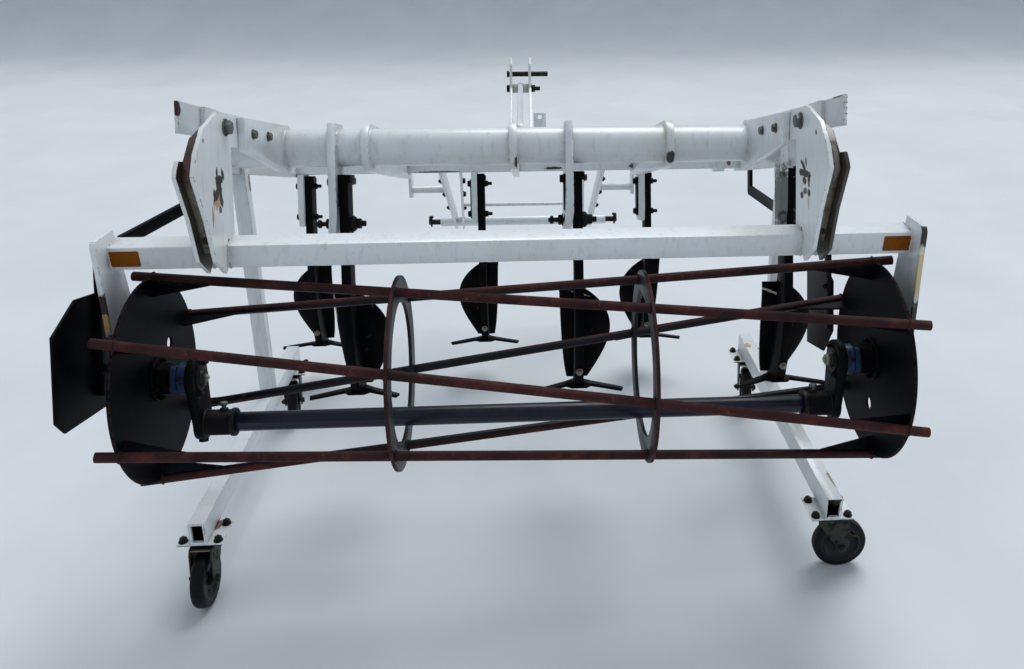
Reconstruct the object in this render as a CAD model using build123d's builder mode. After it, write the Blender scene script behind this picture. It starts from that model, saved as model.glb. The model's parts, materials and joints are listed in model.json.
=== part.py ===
import os
from collections import namedtuple
from math import cos, radians, sin

from build123d import *

# Stubble cultivator, six tines in two rows and a twisted cage roller, on a wheeled stand
# X is to the right, Y is forward, Z is up from the ground, in millimetres
# Machine outlines are given forward and up from the axis of the main pipe

nose_down = 15.57
pipe_height = 1033.0
pipe_y = -193.2
seat = 0.2
running = 0.05

pipe_radius = 50.8
pipe_wall = 7.0
eye_wall = 14.2
eye_radius = pipe_radius + eye_wall
link_thickness = 20.0
link_x = [-423.0, -29.0, 399.0]

bracket_inner = 628.0
bracket_thickness = 18.0
arm_plate = 9.0
arm_gap = 35.0
arm_inner = bracket_inner + bracket_thickness
arm_outer = arm_inner + 2 * arm_plate + arm_gap
side_setout = 92.0
side_inner = arm_outer + side_setout
side_outer = side_inner + link_thickness

front_row = 743.0
rear_row = 0.0
beam_size = 75.0
beam_wall = 6.0
beam_up = -30.0
beam_tail = 34.0
beam_half = side_outer + beam_tail
collar_inset = 86.0
collar_x = side_inner - collar_inset
collar_width = 26.0
collar_wall = 10.5
collar_size = beam_size + 2 * collar_wall
beam_top = beam_up + beam_size / 2
beam_bottom = beam_up - beam_size / 2
beam_front = front_row + beam_size / 2

tube_size = 55.0
tube_wall = 5.0
tube_turn = 23.0
tube_fwd = -421.5
tube_up = -241.5
tube_setout = 92.0
tube_half = side_outer + tube_setout
end_plate = 12.0
end_flange = 24.0
end_boss_radius = 55.0

axle_fwd = -378.0
axle_up = -536.0
axle_radius = 20.0
axle_outer_tail = 6.0
axle_inner_tail = 12.0
axle_outer = tube_half + end_plate + axle_outer_tail

cage_radius = 235.0
cage_gap = 16.0
rod_tail = 40.0
rod_end = tube_half - cage_gap
disc_thickness = 7.0
disc_inner = rod_end - rod_tail - disc_thickness
hub_radius = 36.0
hub_inner_height = 34.0
hub_outer_height = 21.0
hub_inner = disc_inner - hub_inner_height
hub_outer = disc_inner + disc_thickness + hub_outer_height
disc_hole_radius = 13.0
disc_hole_offset = 118.0
ring_x = 287.0
ring_thickness = 8.0
ring_inset = 9.0
ring_width = 60.0
ring_outer = cage_radius - ring_inset
ring_inner = ring_outer - ring_width
rod_radius = 11.0
rod_count = 6
rod_phase = 30.0
rod_twist = 60.0
gusset_start = 2.5
gusset_length = 138.0
gusset_height = 35.0
gusset_thickness = 6.0

bearing_width = 34.0
bearing_radius = 44.0
bearing_gap = 7.0
crank_thickness = 20.0
crank_inner = hub_inner - bearing_gap - bearing_width - crank_thickness
axle_inner = crank_inner - axle_inner_tail
crank_top_radius = 48.0
crank_low_radius = 38.0
crank_drop = 119.0
sleeve_length = 68.0
sleeve_inner = crank_inner - sleeve_length
sleeve_radius = 30.0
inner_beam_radius = 22.5

mast_inner = 31.0
mast_thickness = 10.0
mast_fwd = 1000.0
top_pin_up = 312.0
top_pin_radius = 9.5
top_pin_head = 7.0
top_pin_tail = 65.0
mast_outer = mast_inner + mast_thickness
top_pin_left = -mast_outer - top_pin_head
top_pin_right = mast_outer + top_pin_tail
stay_bolt_up = 256.0
stay_bolt_radius = 8.0
stay_bolt_head = 11.0
stay_bolt_tail = 35.0
stay_bolt_left = -mast_outer - stay_bolt_head
stay_bolt_right = mast_outer + stay_bolt_tail
stay_thickness = 18.0
stay_half_width = 22.0
stay_boss_radius = 17.0
stay_foot_fwd = 88.0
stay_foot_up = 46.0
lamp_bracket_x = 68.0
lamp_bracket_width = 44.0
lamp_bracket_thickness = 8.0
lamp_bracket_height = 134.5
lamp_bracket_hole = 8.0
lamp_bracket_hole_drop = 14.0

hitch_fwd = 1212.0
hitch_up = -268.0
hitch_shoulder = 341.5
hitch_bar_radius = 18.5
hitch_pin_radius = 11.0
hitch_pin_length = 48.5
cheek_thickness = 10.0
cheek_back_height = 72.0
cheek_front_height = 66.0
cheek_tip = 34.0
cheek_end_fwd = hitch_fwd + cheek_tip
tie_setback = 122.0
tie_drop = 7.7594
tie_radius = 7.0
tie_fwd = hitch_fwd - tie_setback
side_tube_setback = 232.0
side_tube_rise = 2.0
side_tube_radius = 14.0
side_tube_end = 424.0
side_tube_plate = 10.0
side_tube_fwd = hitch_fwd - side_tube_setback

hanger_thickness = 20.0
tine_thickness = 25.0
tine_top = -72.0
hanger_gap = 11.5
side_tine_inset = 37.0
board_thickness = 8.0
share_thickness = 8.0
share_up = -696.0

bar_thickness = 12.0
bar_height = 30.0
left_bend_fwd = 30.0
left_bend_up = -108.0
left_end_fwd = -260.0
left_end_up = -217.0
guard_setout = 47.0
guard_x = tube_half + guard_setout
guard_thickness = 6.0
strip_thickness = 13.0

rail_width = 40.0
rail_height = 60.0
rail_wall = 3.0
rail_back = -535.0
rail_front = 415.0
post_size = 40.0
post_wall = 3.0
post_inset = 10.0
post_fwd = 110.0
post_top_drop = 33.0
post_top = pipe_height - post_top_drop

castor_plate_x = 112.0
castor_plate_y = 92.0
castor_plate_thickness = 6.0
castor_inset = 46.0
race_radius = 28.0
race_height = 6.0
kingpin_radius = 8.0
crown_gap = 2.0
crown_radius = 30.0
crown_thickness = 11.0
kingpin_tail = 1.0
trail = 40.0
wheel_radius = 70.0
wheel_gap = 10.0
crown_bottom = 2 * wheel_radius + wheel_gap
crown_top = crown_bottom + crown_thickness
race_bottom = crown_top + crown_gap
plate_bottom = race_bottom + race_height
rail_bottom = plate_bottom + castor_plate_thickness
wheel_width = 32.0
rim_radius = 54.0
rim_hub_radius = 17.0
rim_hub_width = 40.0
rim_web = 12.0
rim_wall = 8.0
wheel_axle_radius = 6.0
fork_leg_inner = 24.0
fork_leg = 4.0
fork_eye = 15.0
fork_back = 22.0

deck_origin = (0.0, pipe_y, pipe_height)
deck_up = (0.0, sin(radians(nose_down)), cos(radians(nose_down)))
deck = Plane(origin=deck_origin, x_dir=(1, 0, 0), z_dir=deck_up)


# Plane across the machine at one x, with forward as its first axis and up as its second
def side(x):
    return Plane(origin=deck.from_local_coords((x, 0, 0)), x_dir=deck.y_dir, z_dir=(1, 0, 0))


# The same plane for a plate on the left (-1) or the right (1), starting at its lower x
def pair(hand, inner, thickness):
    return side(inner if hand > 0 else -inner - thickness)


# Plane along the machine at one height, with right as its first axis and forward as its second
def layer(x, forward, up):
    return Plane(origin=deck.from_local_coords((x, forward, up)), x_dir=(1, 0, 0), z_dir=deck_up)


# Plane square to the forward direction, with right as its first axis and up as its second
def cross(x, forward, up):
    back = deck.y_dir * -1
    return Plane(origin=deck.from_local_coords((x, forward, up)), x_dir=(1, 0, 0), z_dir=back)


hands = (-1, 1)

# Main pipe between the two side plates
with BuildPart() as main_pipe:
    with BuildSketch(side(-side_inner)):
        Circle(pipe_radius)
        Circle(pipe_radius - pipe_wall, mode=Mode.SUBTRACT)
    extrude(amount=2 * side_inner)

# Front beam, a square tube with a collar near its right end
with BuildPart() as front_beam:
    with BuildSketch(side(-beam_half)):
        with Locations((front_row, beam_up)):
            Rectangle(beam_size, beam_size)
            Rectangle(beam_size - 2 * beam_wall, beam_size - 2 * beam_wall, mode=Mode.SUBTRACT)
    extrude(amount=2 * beam_half)
    with BuildSketch(side(collar_x)):
        with Locations((front_row, beam_up)):
            Rectangle(collar_size, collar_size)
            Rectangle(beam_size, beam_size, mode=Mode.SUBTRACT)
    extrude(amount=collar_width)

# Three inner link plates with eyes round the pipe
link_outline = [(0, eye_radius), (front_row - 103, beam_up + 75), (front_row + 57, beam_up + 55),
                (front_row + 57, beam_up - 56), (front_row - 53, beam_up - 56), (0, -eye_radius)]
with BuildPart() as link_plates:
    for x in link_x:
        with BuildSketch(side(x)):
            Polygon(link_outline)
            Circle(eye_radius)
            Circle(pipe_radius + seat, mode=Mode.SUBTRACT)
            with Locations((front_row, beam_up)):
                Rectangle(beam_size + 2 * seat, beam_size + 2 * seat, mode=Mode.SUBTRACT)
        extrude(amount=link_thickness)

# Two side plates that close the pipe and rise to a tail behind it
side_outline = [(-290, 107), (-290, 30), (-150, 29), (-62, -62), (0, -64),
                (front_row - 38, beam_up - 46), (front_row + 63, beam_up - 46),
                (front_row + 63, beam_up + 60), (front_row - 38, beam_up + 70), (100, 75), (-60, 101)]
with BuildPart() as side_plates:
    for hand in hands:
        with BuildSketch(pair(hand, side_inner, link_thickness)):
            Polygon(side_outline)
            with Locations((front_row, beam_up)):
                Rectangle(beam_size + 2 * seat, beam_size + 2 * seat, mode=Mode.SUBTRACT)
        extrude(amount=link_thickness)

# Brackets on the pipe that carry the arms
bracket_outline = [(0, 62), (-360, 60), (-350, -16), (-56, -62), (0, -62)]
with BuildPart() as arm_brackets:
    for hand in hands:
        with BuildSketch(pair(hand, bracket_inner, bracket_thickness)):
            Polygon(bracket_outline)
            Circle(eye_radius)
            Circle(pipe_radius + seat, mode=Mode.SUBTRACT)
        extrude(amount=bracket_thickness)

# Arms, each two plates with a closing web set in from their rear edge
arm_outline = [(-318, 65), (-478, 65), (-567, 25), (-612, -30), (-630, -76),
               (tube_fwd - 146.5, tube_up + 77.5), (tube_fwd - 99.5, tube_up - 14.5),
               (tube_fwd - 38.5, tube_up - 45.5), (tube_fwd + 20.5, tube_up + 37.5), (-403, -9), (-320, -7)]
tongue_outline = [(-140, 56), (-320, 64), (-320, -7), (-140, -5)]
web_outline = [(-470, 40), (-553, 5), (-590, -42), (-602, -76), (tube_fwd - 123.5, tube_up + 85.5),
               (tube_fwd - 76.5, tube_up + 1.5), (tube_fwd - 69.5, tube_up + 5.5),
               (tube_fwd - 115.5, tube_up + 88.5), (-593, -76), (-583, -46), (-548, -2), (-468, 32)]
with BuildPart() as arms:
    for hand in hands:
        with BuildSketch(pair(hand, arm_inner, arm_plate)):
            Polygon(arm_outline)
            Polygon(tongue_outline)
        extrude(amount=arm_plate)
        with BuildSketch(pair(hand, arm_inner + arm_plate, arm_gap)):
            Polygon(web_outline)
        extrude(amount=arm_gap)
        with BuildSketch(pair(hand, arm_inner + arm_plate + arm_gap, arm_plate)):
            Polygon(arm_outline)
        extrude(amount=arm_plate)
    with BuildSketch(side(-tube_half)):
        with Locations(Location((tube_fwd, tube_up), tube_turn)):
            Rectangle(tube_size + 2 * seat, tube_size + 2 * seat)
    extrude(amount=2 * tube_half, mode=Mode.SUBTRACT)

# Rear tube, turned with its forward edge up
with BuildPart() as rear_tube:
    with BuildSketch(side(-tube_half)):
        with Locations(Location((tube_fwd, tube_up), tube_turn)):
            Rectangle(tube_size, tube_size)
            Rectangle(tube_size - 2 * tube_wall, tube_size - 2 * tube_wall, mode=Mode.SUBTRACT)
    extrude(amount=2 * tube_half)

# End plates from the rear tube down to the roller axle, with a flange on their rear edge
end_outline = [(tube_fwd - 91.5, tube_up + 31.5), (tube_fwd - 3.5, tube_up + 53.5),
               (tube_fwd + 49.5, tube_up - 55.5), (axle_fwd + 53, axle_up + 132), (axle_fwd + 54, axle_up + 6),
               (axle_fwd, axle_up - 54), (axle_fwd - 50, axle_up - 20), (axle_fwd - 70, axle_up + 79),
               (tube_fwd - 65.5, tube_up - 63.5)]
flange_outline = [(tube_fwd - 91.5, tube_up + 31.5), (tube_fwd - 65.5, tube_up - 63.5),
                  (axle_fwd - 70, axle_up + 79), (axle_fwd - 60, axle_up + 31), (axle_fwd - 52, axle_up + 33),
                  (axle_fwd - 62, axle_up + 81), (tube_fwd - 57.5, tube_up - 61.5),
                  (tube_fwd - 83.5, tube_up + 33.5)]
with BuildPart() as end_plates:
    for hand in hands:
        with BuildSketch(pair(hand, tube_half, end_plate)):
            Polygon(end_outline)
            with Locations((axle_fwd, axle_up)):
                Circle(end_boss_radius)
                Circle(axle_radius + seat, mode=Mode.SUBTRACT)
        extrude(amount=end_plate)
        with BuildSketch(pair(hand, tube_half + end_plate, end_flange)):
            Polygon(flange_outline)
        extrude(amount=end_flange)

# Fixed stub axles that the roller turns on
with BuildPart() as stub_axles:
    for hand in hands:
        with BuildSketch(pair(hand, axle_inner, axle_outer - axle_inner)):
            with Locations((axle_fwd, axle_up)):
                Circle(axle_radius)
        extrude(amount=axle_outer - axle_inner)

# Crank plates that hang the inner beam below the axle, each with a sleeve
low_fwd = axle_fwd + crank_drop * sin(radians(nose_down))
low_up = axle_up - crank_drop * cos(radians(nose_down))
crank_outline = [(axle_fwd - crank_top_radius, axle_up), (low_fwd - crank_low_radius, low_up),
                 (low_fwd + crank_low_radius, low_up), (axle_fwd + crank_top_radius, axle_up)]
with BuildPart() as crank_plates:
    for hand in hands:
        with BuildSketch(pair(hand, crank_inner, crank_thickness)):
            Polygon(crank_outline)
            with Locations((axle_fwd, axle_up)):
                Circle(crank_top_radius)
            with Locations((low_fwd, low_up)):
                Circle(crank_low_radius)
            with Locations((axle_fwd, axle_up)):
                Circle(axle_radius + seat, mode=Mode.SUBTRACT)
        extrude(amount=crank_thickness)
        with BuildSketch(pair(hand, sleeve_inner, crank_inner - sleeve_inner)):
            with Locations((low_fwd, low_up)):
                Circle(sleeve_radius)
        extrude(amount=crank_inner - sleeve_inner)
    with BuildSketch(side(-crank_inner - crank_thickness)):
        with Locations((low_fwd, low_up)):
            Circle(inner_beam_radius + seat)
    extrude(amount=2 * (crank_inner + crank_thickness), mode=Mode.SUBTRACT)

# Inner beam between the cranks
with BuildPart() as inner_beam:
    with BuildSketch(side(-crank_inner - crank_thickness)):
        with Locations((low_fwd, low_up)):
            Circle(inner_beam_radius)
    extrude(amount=2 * (crank_inner + crank_thickness))

# Bearing units on the outer face of the cranks
with BuildPart() as bearing_units:
    for hand in hands:
        with BuildSketch(pair(hand, crank_inner + crank_thickness, bearing_width)):
            with Locations((axle_fwd, axle_up)):
                Circle(bearing_radius)
                Circle(axle_radius + seat, mode=Mode.SUBTRACT)
        extrude(amount=bearing_width)


# Point on the cage at a given x and turn about the roller axis
def cage_point(x, radius, turn):
    forward = axle_fwd + radius * cos(radians(turn))
    up = axle_up + radius * sin(radians(turn))
    return deck.from_local_coords((x, forward, up))


disc_mid = disc_inner + disc_thickness / 2

# Six straight rods, set askew so that the cage is twisted
with BuildPart() as roller_rods:
    for number in range(rod_count):
        turn = rod_phase + number * 360 / rod_count
        left = cage_point(-disc_mid, cage_radius, turn)
        right = cage_point(disc_mid, cage_radius, turn + rod_twist)
        along = (right - left) * (1 / (2 * disc_mid))
        with BuildSketch(Plane(origin=left - along * (rod_end - disc_mid), z_dir=along)):
            Circle(rod_radius)
        extrude(amount=2 * rod_end * along.length)

# Two end discs with hubs that run on the stub axles
with BuildPart() as roller_discs:
    for hand in hands:
        with BuildSketch(pair(hand, disc_inner, disc_thickness)):
            with Locations((axle_fwd, axle_up)):
                Circle(cage_radius)
            with Locations((axle_fwd - disc_hole_offset, axle_up)):
                Circle(disc_hole_radius, mode=Mode.SUBTRACT)
        extrude(amount=disc_thickness)
        with BuildSketch(pair(hand, hub_inner, hub_outer - hub_inner)):
            with Locations((axle_fwd, axle_up)):
                Circle(hub_radius)
        extrude(amount=hub_outer - hub_inner)
    with BuildSketch(side(-hub_outer)):
        with Locations((axle_fwd, axle_up)):
            Circle(axle_radius + running)
    extrude(amount=2 * hub_outer, mode=Mode.SUBTRACT)
    add(roller_rods.part, mode=Mode.SUBTRACT)

# Two middle rings that the rods pass through
with BuildPart() as roller_rings:
    for hand in hands:
        with BuildSketch(pair(hand, ring_x - ring_thickness / 2, ring_thickness)):
            with Locations((axle_fwd, axle_up)):
                Circle(ring_outer)
                Circle(ring_inner, mode=Mode.SUBTRACT)
        extrude(amount=ring_thickness)
    add(roller_rods.part, mode=Mode.SUBTRACT)

# Triangular gussets from the discs in along each rod
with BuildPart() as roller_gussets:
    for hand in hands:
        for number in range(rod_count):
            turn = rod_phase + number * 360 / rod_count + (rod_twist if hand > 0 else 0)
            middle = cage_point(hand * disc_mid, 0, turn)
            rim = cage_point(hand * disc_mid, cage_radius, turn)
            other = cage_point(-hand * disc_mid, cage_radius, turn - hand * rod_twist)
            along = (other - rim).normalized()
            outward = (rim - middle).normalized()
            level = (outward - along * outward.dot(along)).normalized()
            with BuildSketch(Plane(origin=rim, x_dir=along, z_dir=along.cross(level))):
                Polygon([(gusset_start, -rod_radius - seat), (gusset_length, -rod_radius - seat),
                         (gusset_start, -rod_radius - gusset_height)])
            extrude(amount=gusset_thickness / 2, both=True)
    add(roller_discs.part, mode=Mode.SUBTRACT)

# Mast plates on the front beam, and a small bracket beside them
mast_outline = [(front_row - 35, beam_top), (front_row + 35, beam_top), (front_row + 137, beam_top + 92.5),
                (mast_fwd + 35, top_pin_up - 72), (mast_fwd + 35, top_pin_up + 33),
                (mast_fwd + 20, top_pin_up + 62), (mast_fwd - 15, top_pin_up + 62),
                (mast_fwd - 35, top_pin_up + 33), (mast_fwd - 42, stay_bolt_up), (front_row - 23, beam_top + 52.5)]
with BuildPart() as mast_plates:
    for hand in hands:
        with BuildSketch(pair(hand, mast_inner, mast_thickness)):
            Polygon(mast_outline)
            with Locations((mast_fwd, top_pin_up)):
                Circle(top_pin_radius + seat, mode=Mode.SUBTRACT)
            with Locations((mast_fwd, stay_bolt_up)):
                Circle(stay_bolt_radius + seat, mode=Mode.SUBTRACT)
        extrude(amount=mast_thickness)
    with BuildSketch(cross(lamp_bracket_x, front_row, beam_top + lamp_bracket_height / 2)):
        Rectangle(lamp_bracket_width, lamp_bracket_height)
        with Locations((0, lamp_bracket_height / 2 - lamp_bracket_hole_drop)):
            Circle(lamp_bracket_hole, mode=Mode.SUBTRACT)
    extrude(amount=lamp_bracket_thickness)

# Stay from the mast back to the middle link plate
with BuildPart() as mast_stay:
    run_fwd = mast_fwd - stay_foot_fwd
    run_up = stay_bolt_up - stay_foot_up
    run = (run_fwd ** 2 + run_up ** 2) ** 0.5
    off_fwd = -stay_half_width * run_up / run
    off_up = stay_half_width * run_fwd / run
    with BuildSketch(side(-stay_thickness / 2)):
        Polygon([(mast_fwd + off_fwd, stay_bolt_up + off_up),
                 (mast_fwd - off_fwd, stay_bolt_up - off_up),
                 (stay_foot_fwd - off_fwd, stay_foot_up - off_up),
                 (stay_foot_fwd + off_fwd, stay_foot_up + off_up)])
        with Locations((mast_fwd, stay_bolt_up), (stay_foot_fwd, stay_foot_up)):
            Circle(stay_half_width)
    extrude(amount=stay_thickness)
    with BuildSketch(side(-mast_inner)):
        with Locations((mast_fwd, stay_bolt_up)):
            Circle(stay_boss_radius)
    extrude(amount=2 * mast_inner)
    with BuildSketch(side(-mast_inner)):
        with Locations((mast_fwd, stay_bolt_up)):
            Circle(stay_bolt_radius + seat)
    extrude(amount=2 * mast_inner, mode=Mode.SUBTRACT)

# Top link pin and the bolt that holds the stay
with BuildPart() as mast_pins:
    with BuildSketch(side(top_pin_left)):
        with Locations((mast_fwd, top_pin_up)):
            Circle(top_pin_radius)
    extrude(amount=top_pin_right - top_pin_left)
    with BuildSketch(side(stay_bolt_left)):
        with Locations((mast_fwd, stay_bolt_up)):
            Circle(stay_bolt_radius)
    extrude(amount=stay_bolt_right - stay_bolt_left)

# Hitch cheeks, two converging plates each side
Cheek = namedtuple("Cheek", "back_x front_x")
outer_cheek = Cheek(300.0, 278.0)
inner_cheek = Cheek(223.0, 250.0)
with BuildPart() as hitch_cheeks:
    for hand in hands:
        for cheek in (outer_cheek, inner_cheek):
            with BuildSketch(cross(hand * cheek.back_x, beam_front, beam_up)):
                Rectangle(cheek_thickness, cheek_back_height)
            with BuildSketch(cross(hand * cheek.front_x, cheek_end_fwd, hitch_up)):
                Rectangle(cheek_thickness, cheek_front_height)
            loft()
    with BuildSketch(side(-hitch_shoulder)):
        with Locations((hitch_fwd, hitch_up)):
            Circle(hitch_bar_radius + seat)
    extrude(amount=2 * hitch_shoulder, mode=Mode.SUBTRACT)

# Lower hitch bar through the cheeks
with BuildPart() as lower_hitch_bar:
    with BuildSketch(side(-hitch_shoulder)):
        with Locations((hitch_fwd, hitch_up)):
            Circle(hitch_bar_radius)
    extrude(amount=2 * hitch_shoulder)

# Lower hitch pins on the ends of the bar
with BuildPart() as lower_hitch_pins:
    for hand in hands:
        with BuildSketch(pair(hand, hitch_shoulder, hitch_pin_length)):
            with Locations((hitch_fwd, hitch_up)):
                Circle(hitch_pin_radius)
        extrude(amount=hitch_pin_length)


# Middle of a cheek at one place along it, as its distance from the machine's centre and its height
def cheek_middle(cheek, forward):
    share = (forward - beam_front) / (cheek_end_fwd - beam_front)
    return cheek.back_x + share * (cheek.front_x - cheek.back_x), beam_up + share * (hitch_up - beam_up)


# Short tubes outward from the cheeks, each with an end plate, and a rod between the cheeks
side_tube_start, side_run_up = cheek_middle(outer_cheek, side_tube_fwd)
side_tube_up = side_run_up + side_tube_rise
tie_half, tie_run_up = cheek_middle(inner_cheek, tie_fwd)
tie_up = tie_run_up - tie_drop
side_plate_outline = [(-40, 70), (20, 70), (40, 30), (40, -30), (-20, -30), (-40, 30)]
with BuildPart() as hitch_side_tubes:
    for hand in hands:
        with BuildSketch(pair(hand, side_tube_start, side_tube_end - side_tube_start)):
            with Locations((side_tube_fwd, side_tube_up)):
                Circle(side_tube_radius)
        extrude(amount=side_tube_end - side_tube_start)
        with BuildSketch(pair(hand, side_tube_end, side_tube_plate)):
            Polygon([(side_tube_fwd + forward, side_tube_up + up) for forward, up in side_plate_outline])
        extrude(amount=side_tube_plate)
    with BuildSketch(side(-tie_half)):
        with Locations((tie_fwd, tie_up)):
            Circle(tie_radius)
    extrude(amount=2 * tie_half)
    add(hitch_cheeks.part, mode=Mode.SUBTRACT)

Tine = namedtuple("Tine", "x row hand")
left_tine = -side_inner + side_tine_inset
right_tine = arm_outer + hanger_gap + hanger_thickness + tine_thickness / 2
tines = [Tine(left_tine, front_row, -1), Tine(-478.0, rear_row, 1), Tine(-148.0, front_row, -1),
         Tine(155.0, rear_row, 1), Tine(452.0, front_row, -1), Tine(right_tine, rear_row, 1)]
front_tines = [tine for tine in tines if tine.row == front_row]
rear_tines = [tine for tine in tines if tine.row == rear_row]

# Hanger plates under the front beam
front_hanger = [(-52, beam_bottom), (52, beam_bottom), (52, tine_top - 128), (40, tine_top - 178),
                (-40, tine_top - 178), (-52, tine_top - 128)]
with BuildPart() as front_hangers:
    for tine in front_tines:
        with BuildSketch(side(tine.x - tine_thickness / 2 - hanger_thickness)):
            Polygon([(front_row + forward, up) for forward, up in front_hanger])
        extrude(amount=hanger_thickness)

# Hanger plates round the main pipe
rear_hanger = [(-68, 30), (-50, eye_radius), (50, eye_radius), (68, 30), (62, tine_top - 108),
               (46, tine_top - 168), (-46, tine_top - 168), (-62, tine_top - 108)]
with BuildPart() as rear_hangers:
    for tine in rear_tines:
        with BuildSketch(side(tine.x - tine_thickness / 2 - hanger_thickness)):
            Polygon(rear_hanger)
            Circle(pipe_radius + seat, mode=Mode.SUBTRACT)
        extrude(amount=hanger_thickness)

foot_up = share_up + share_thickness

# Curved mouldboards, as sections from the top down
# near and far are the edges beside the tine, mid is how far the middle is in front of the row
Section = namedtuple("Section", "up near far mid sag")
board_sections = [Section(-398, -54, 8, 40, 4), Section(-436, -52, 58, 44, 9),
                  Section(-490, -50, 90, 56, 14), Section(-550, -47, 92, 78, 15),
                  Section(-615, -42, 68, 108, 12), Section(foot_up + 6, -32, 30, 142, 6)]
with BuildPart() as mouldboards:
    for tine in tines:
        for section in board_sections:
            near = section.near
            far = section.far
            middle = (near + far) / 2
            front = section.mid + section.sag
            with BuildSketch(layer(tine.x, tine.row, section.up)):
                with BuildLine():
                    rear_arc = ThreePointArc((tine.hand * near, front), (tine.hand * middle, section.mid),
                                             (tine.hand * far, front))
                    front_arc = ThreePointArc((tine.hand * near, front + board_thickness),
                                              (tine.hand * middle, section.mid + board_thickness),
                                              (tine.hand * far, front + board_thickness))
                    Line(rear_arc @ 0, front_arc @ 0)
                    Line(rear_arc @ 1, front_arc @ 1)
                make_face()
        loft()

# Tines, straight below the hanger and curved forward at the foot
tine_outline = [(-32, tine_top), (32, tine_top), (32, -370), (45, -398), (50, -436), (62, -490),
                (84, -550), (113, -615), (144, foot_up + 8), (144, foot_up), (58, foot_up),
                (40, foot_up + 20), (8, -606), (-20, -520), (-32, -430)]
with BuildPart() as shanks:
    for tine in tines:
        with BuildSketch(side(tine.x - tine_thickness / 2)):
            Polygon([(tine.row + forward, up) for forward, up in tine_outline])
        extrude(amount=tine_thickness)
    add(mouldboards.part, mode=Mode.SUBTRACT)

# Winged shares under the feet
share_outline = [(0, 168), (38, 118), (125, 32), (118, 4), (36, 72), (22, 50),
                 (-22, 50), (-36, 72), (-118, 4), (-125, 32), (-38, 118)]
with BuildPart() as shares:
    for tine in tines:
        with BuildSketch(layer(tine.x, tine.row, share_up)):
            Polygon(share_outline)
        extrude(amount=share_thickness)

# Guard bars and the strips they are bolted to
bar_inner = side_outer + strip_thickness
right_bar = [(front_row - 39, beam_bottom), (front_row - 9, beam_bottom), (front_row - 9, -152),
             (front_row - 19, -163), (150, -255), (150, -225), (front_row - 39, -132)]
right_reach = [(186, -249), (234, -241), (234, -211), (186, -219)]
right_drop = [(204, -230), (234, -230), (234, -570), (204, -570)]
right_strip = [(160, -30), (204, -30), (204, -246), (160, -252)]
left_bar = [(74, -86), (30, -93), (30, -123), (74, -116)]
left_drop = [(-260, -202), (-425, -230), (-425, -560), (-395, -560), (-395, -256), (-260, -232)]
left_strip = [(30, -30), (74, -30), (74, -116), (30, -123)]
with BuildPart() as guard_bars:
    with BuildSketch(side(bar_inner)):
        Polygon(right_bar)
    extrude(amount=bar_thickness)
    with BuildSketch(side(bar_inner)):
        Polygon(right_reach)
    extrude(amount=guard_x - bar_inner)
    with BuildSketch(side(guard_x - bar_thickness)):
        Polygon(right_drop)
    extrude(amount=bar_thickness)
    with BuildSketch(side(side_outer)):
        Polygon(right_strip)
    extrude(amount=strip_thickness)
    with BuildSketch(side(-bar_inner - bar_thickness)):
        Polygon(left_bar)
    extrude(amount=bar_thickness)
    with BuildSketch(cross(-bar_inner - bar_thickness / 2, left_bend_fwd, left_bend_up)):
        Rectangle(bar_thickness, bar_height)
    with BuildSketch(cross(-guard_x + bar_thickness / 2, left_end_fwd, left_end_up)):
        Rectangle(bar_thickness, bar_height)
    loft()
    with BuildSketch(side(-guard_x)):
        Polygon(left_drop)
    extrude(amount=bar_thickness)
    with BuildSketch(side(-bar_inner)):
        Polygon(left_strip)
    extrude(amount=strip_thickness)

# Guard plates that keep soil beside the roller
left_guard = [(-603, -396), (-506, -332), (-380, -328), (-380, -592), (-570, -603), (-606, -574)]
right_guard = [(200, -420), (246, -394), (440, -394), (440, -656), (282, -656), (200, -576)]
with BuildPart() as guard_plates:
    with BuildSketch(side(-guard_x - guard_thickness)):
        Polygon(left_guard)
    extrude(amount=guard_thickness)
    with BuildSketch(side(guard_x)):
        Polygon(right_guard)
    extrude(amount=guard_thickness)

# Stand rails on the ground, open at both ends
rail_x = [-side_inner - post_inset, side_inner - post_inset]
rail_run = rail_front - rail_back
with BuildPart() as stand_rails:
    for x in rail_x:
        end = (x, pipe_y + rail_back, rail_bottom + rail_height / 2)
        with BuildSketch(Plane(origin=end, x_dir=(-1, 0, 0), z_dir=(0, 1, 0))):
            Rectangle(rail_width, rail_height)
            Rectangle(rail_width - 2 * rail_wall, rail_height - 2 * rail_wall, mode=Mode.SUBTRACT)
        extrude(amount=rail_run)

# Stand posts from the rails up to the side plates
with BuildPart() as stand_posts:
    for x in rail_x:
        with BuildSketch(Plane.XY.offset(rail_bottom + rail_height)):
            with Locations((x, pipe_y + post_fwd)):
                Rectangle(post_size, post_size)
                Rectangle(post_size - 2 * post_wall, post_size - 2 * post_wall, mode=Mode.SUBTRACT)
        extrude(amount=post_top - rail_bottom - rail_height)
    add(side_plates.part, mode=Mode.SUBTRACT)

Castor = namedtuple("Castor", "name x forward turn")
castors = [Castor("rear_left", rail_x[0], rail_back + castor_inset, -90.0),
           Castor("rear_right", rail_x[1], rail_back + castor_inset, 0.0),
           Castor("front_left", rail_x[0], rail_front - castor_inset, -80.0),
           Castor("front_right", rail_x[1], rail_front - castor_inset, -100.0)]

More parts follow.
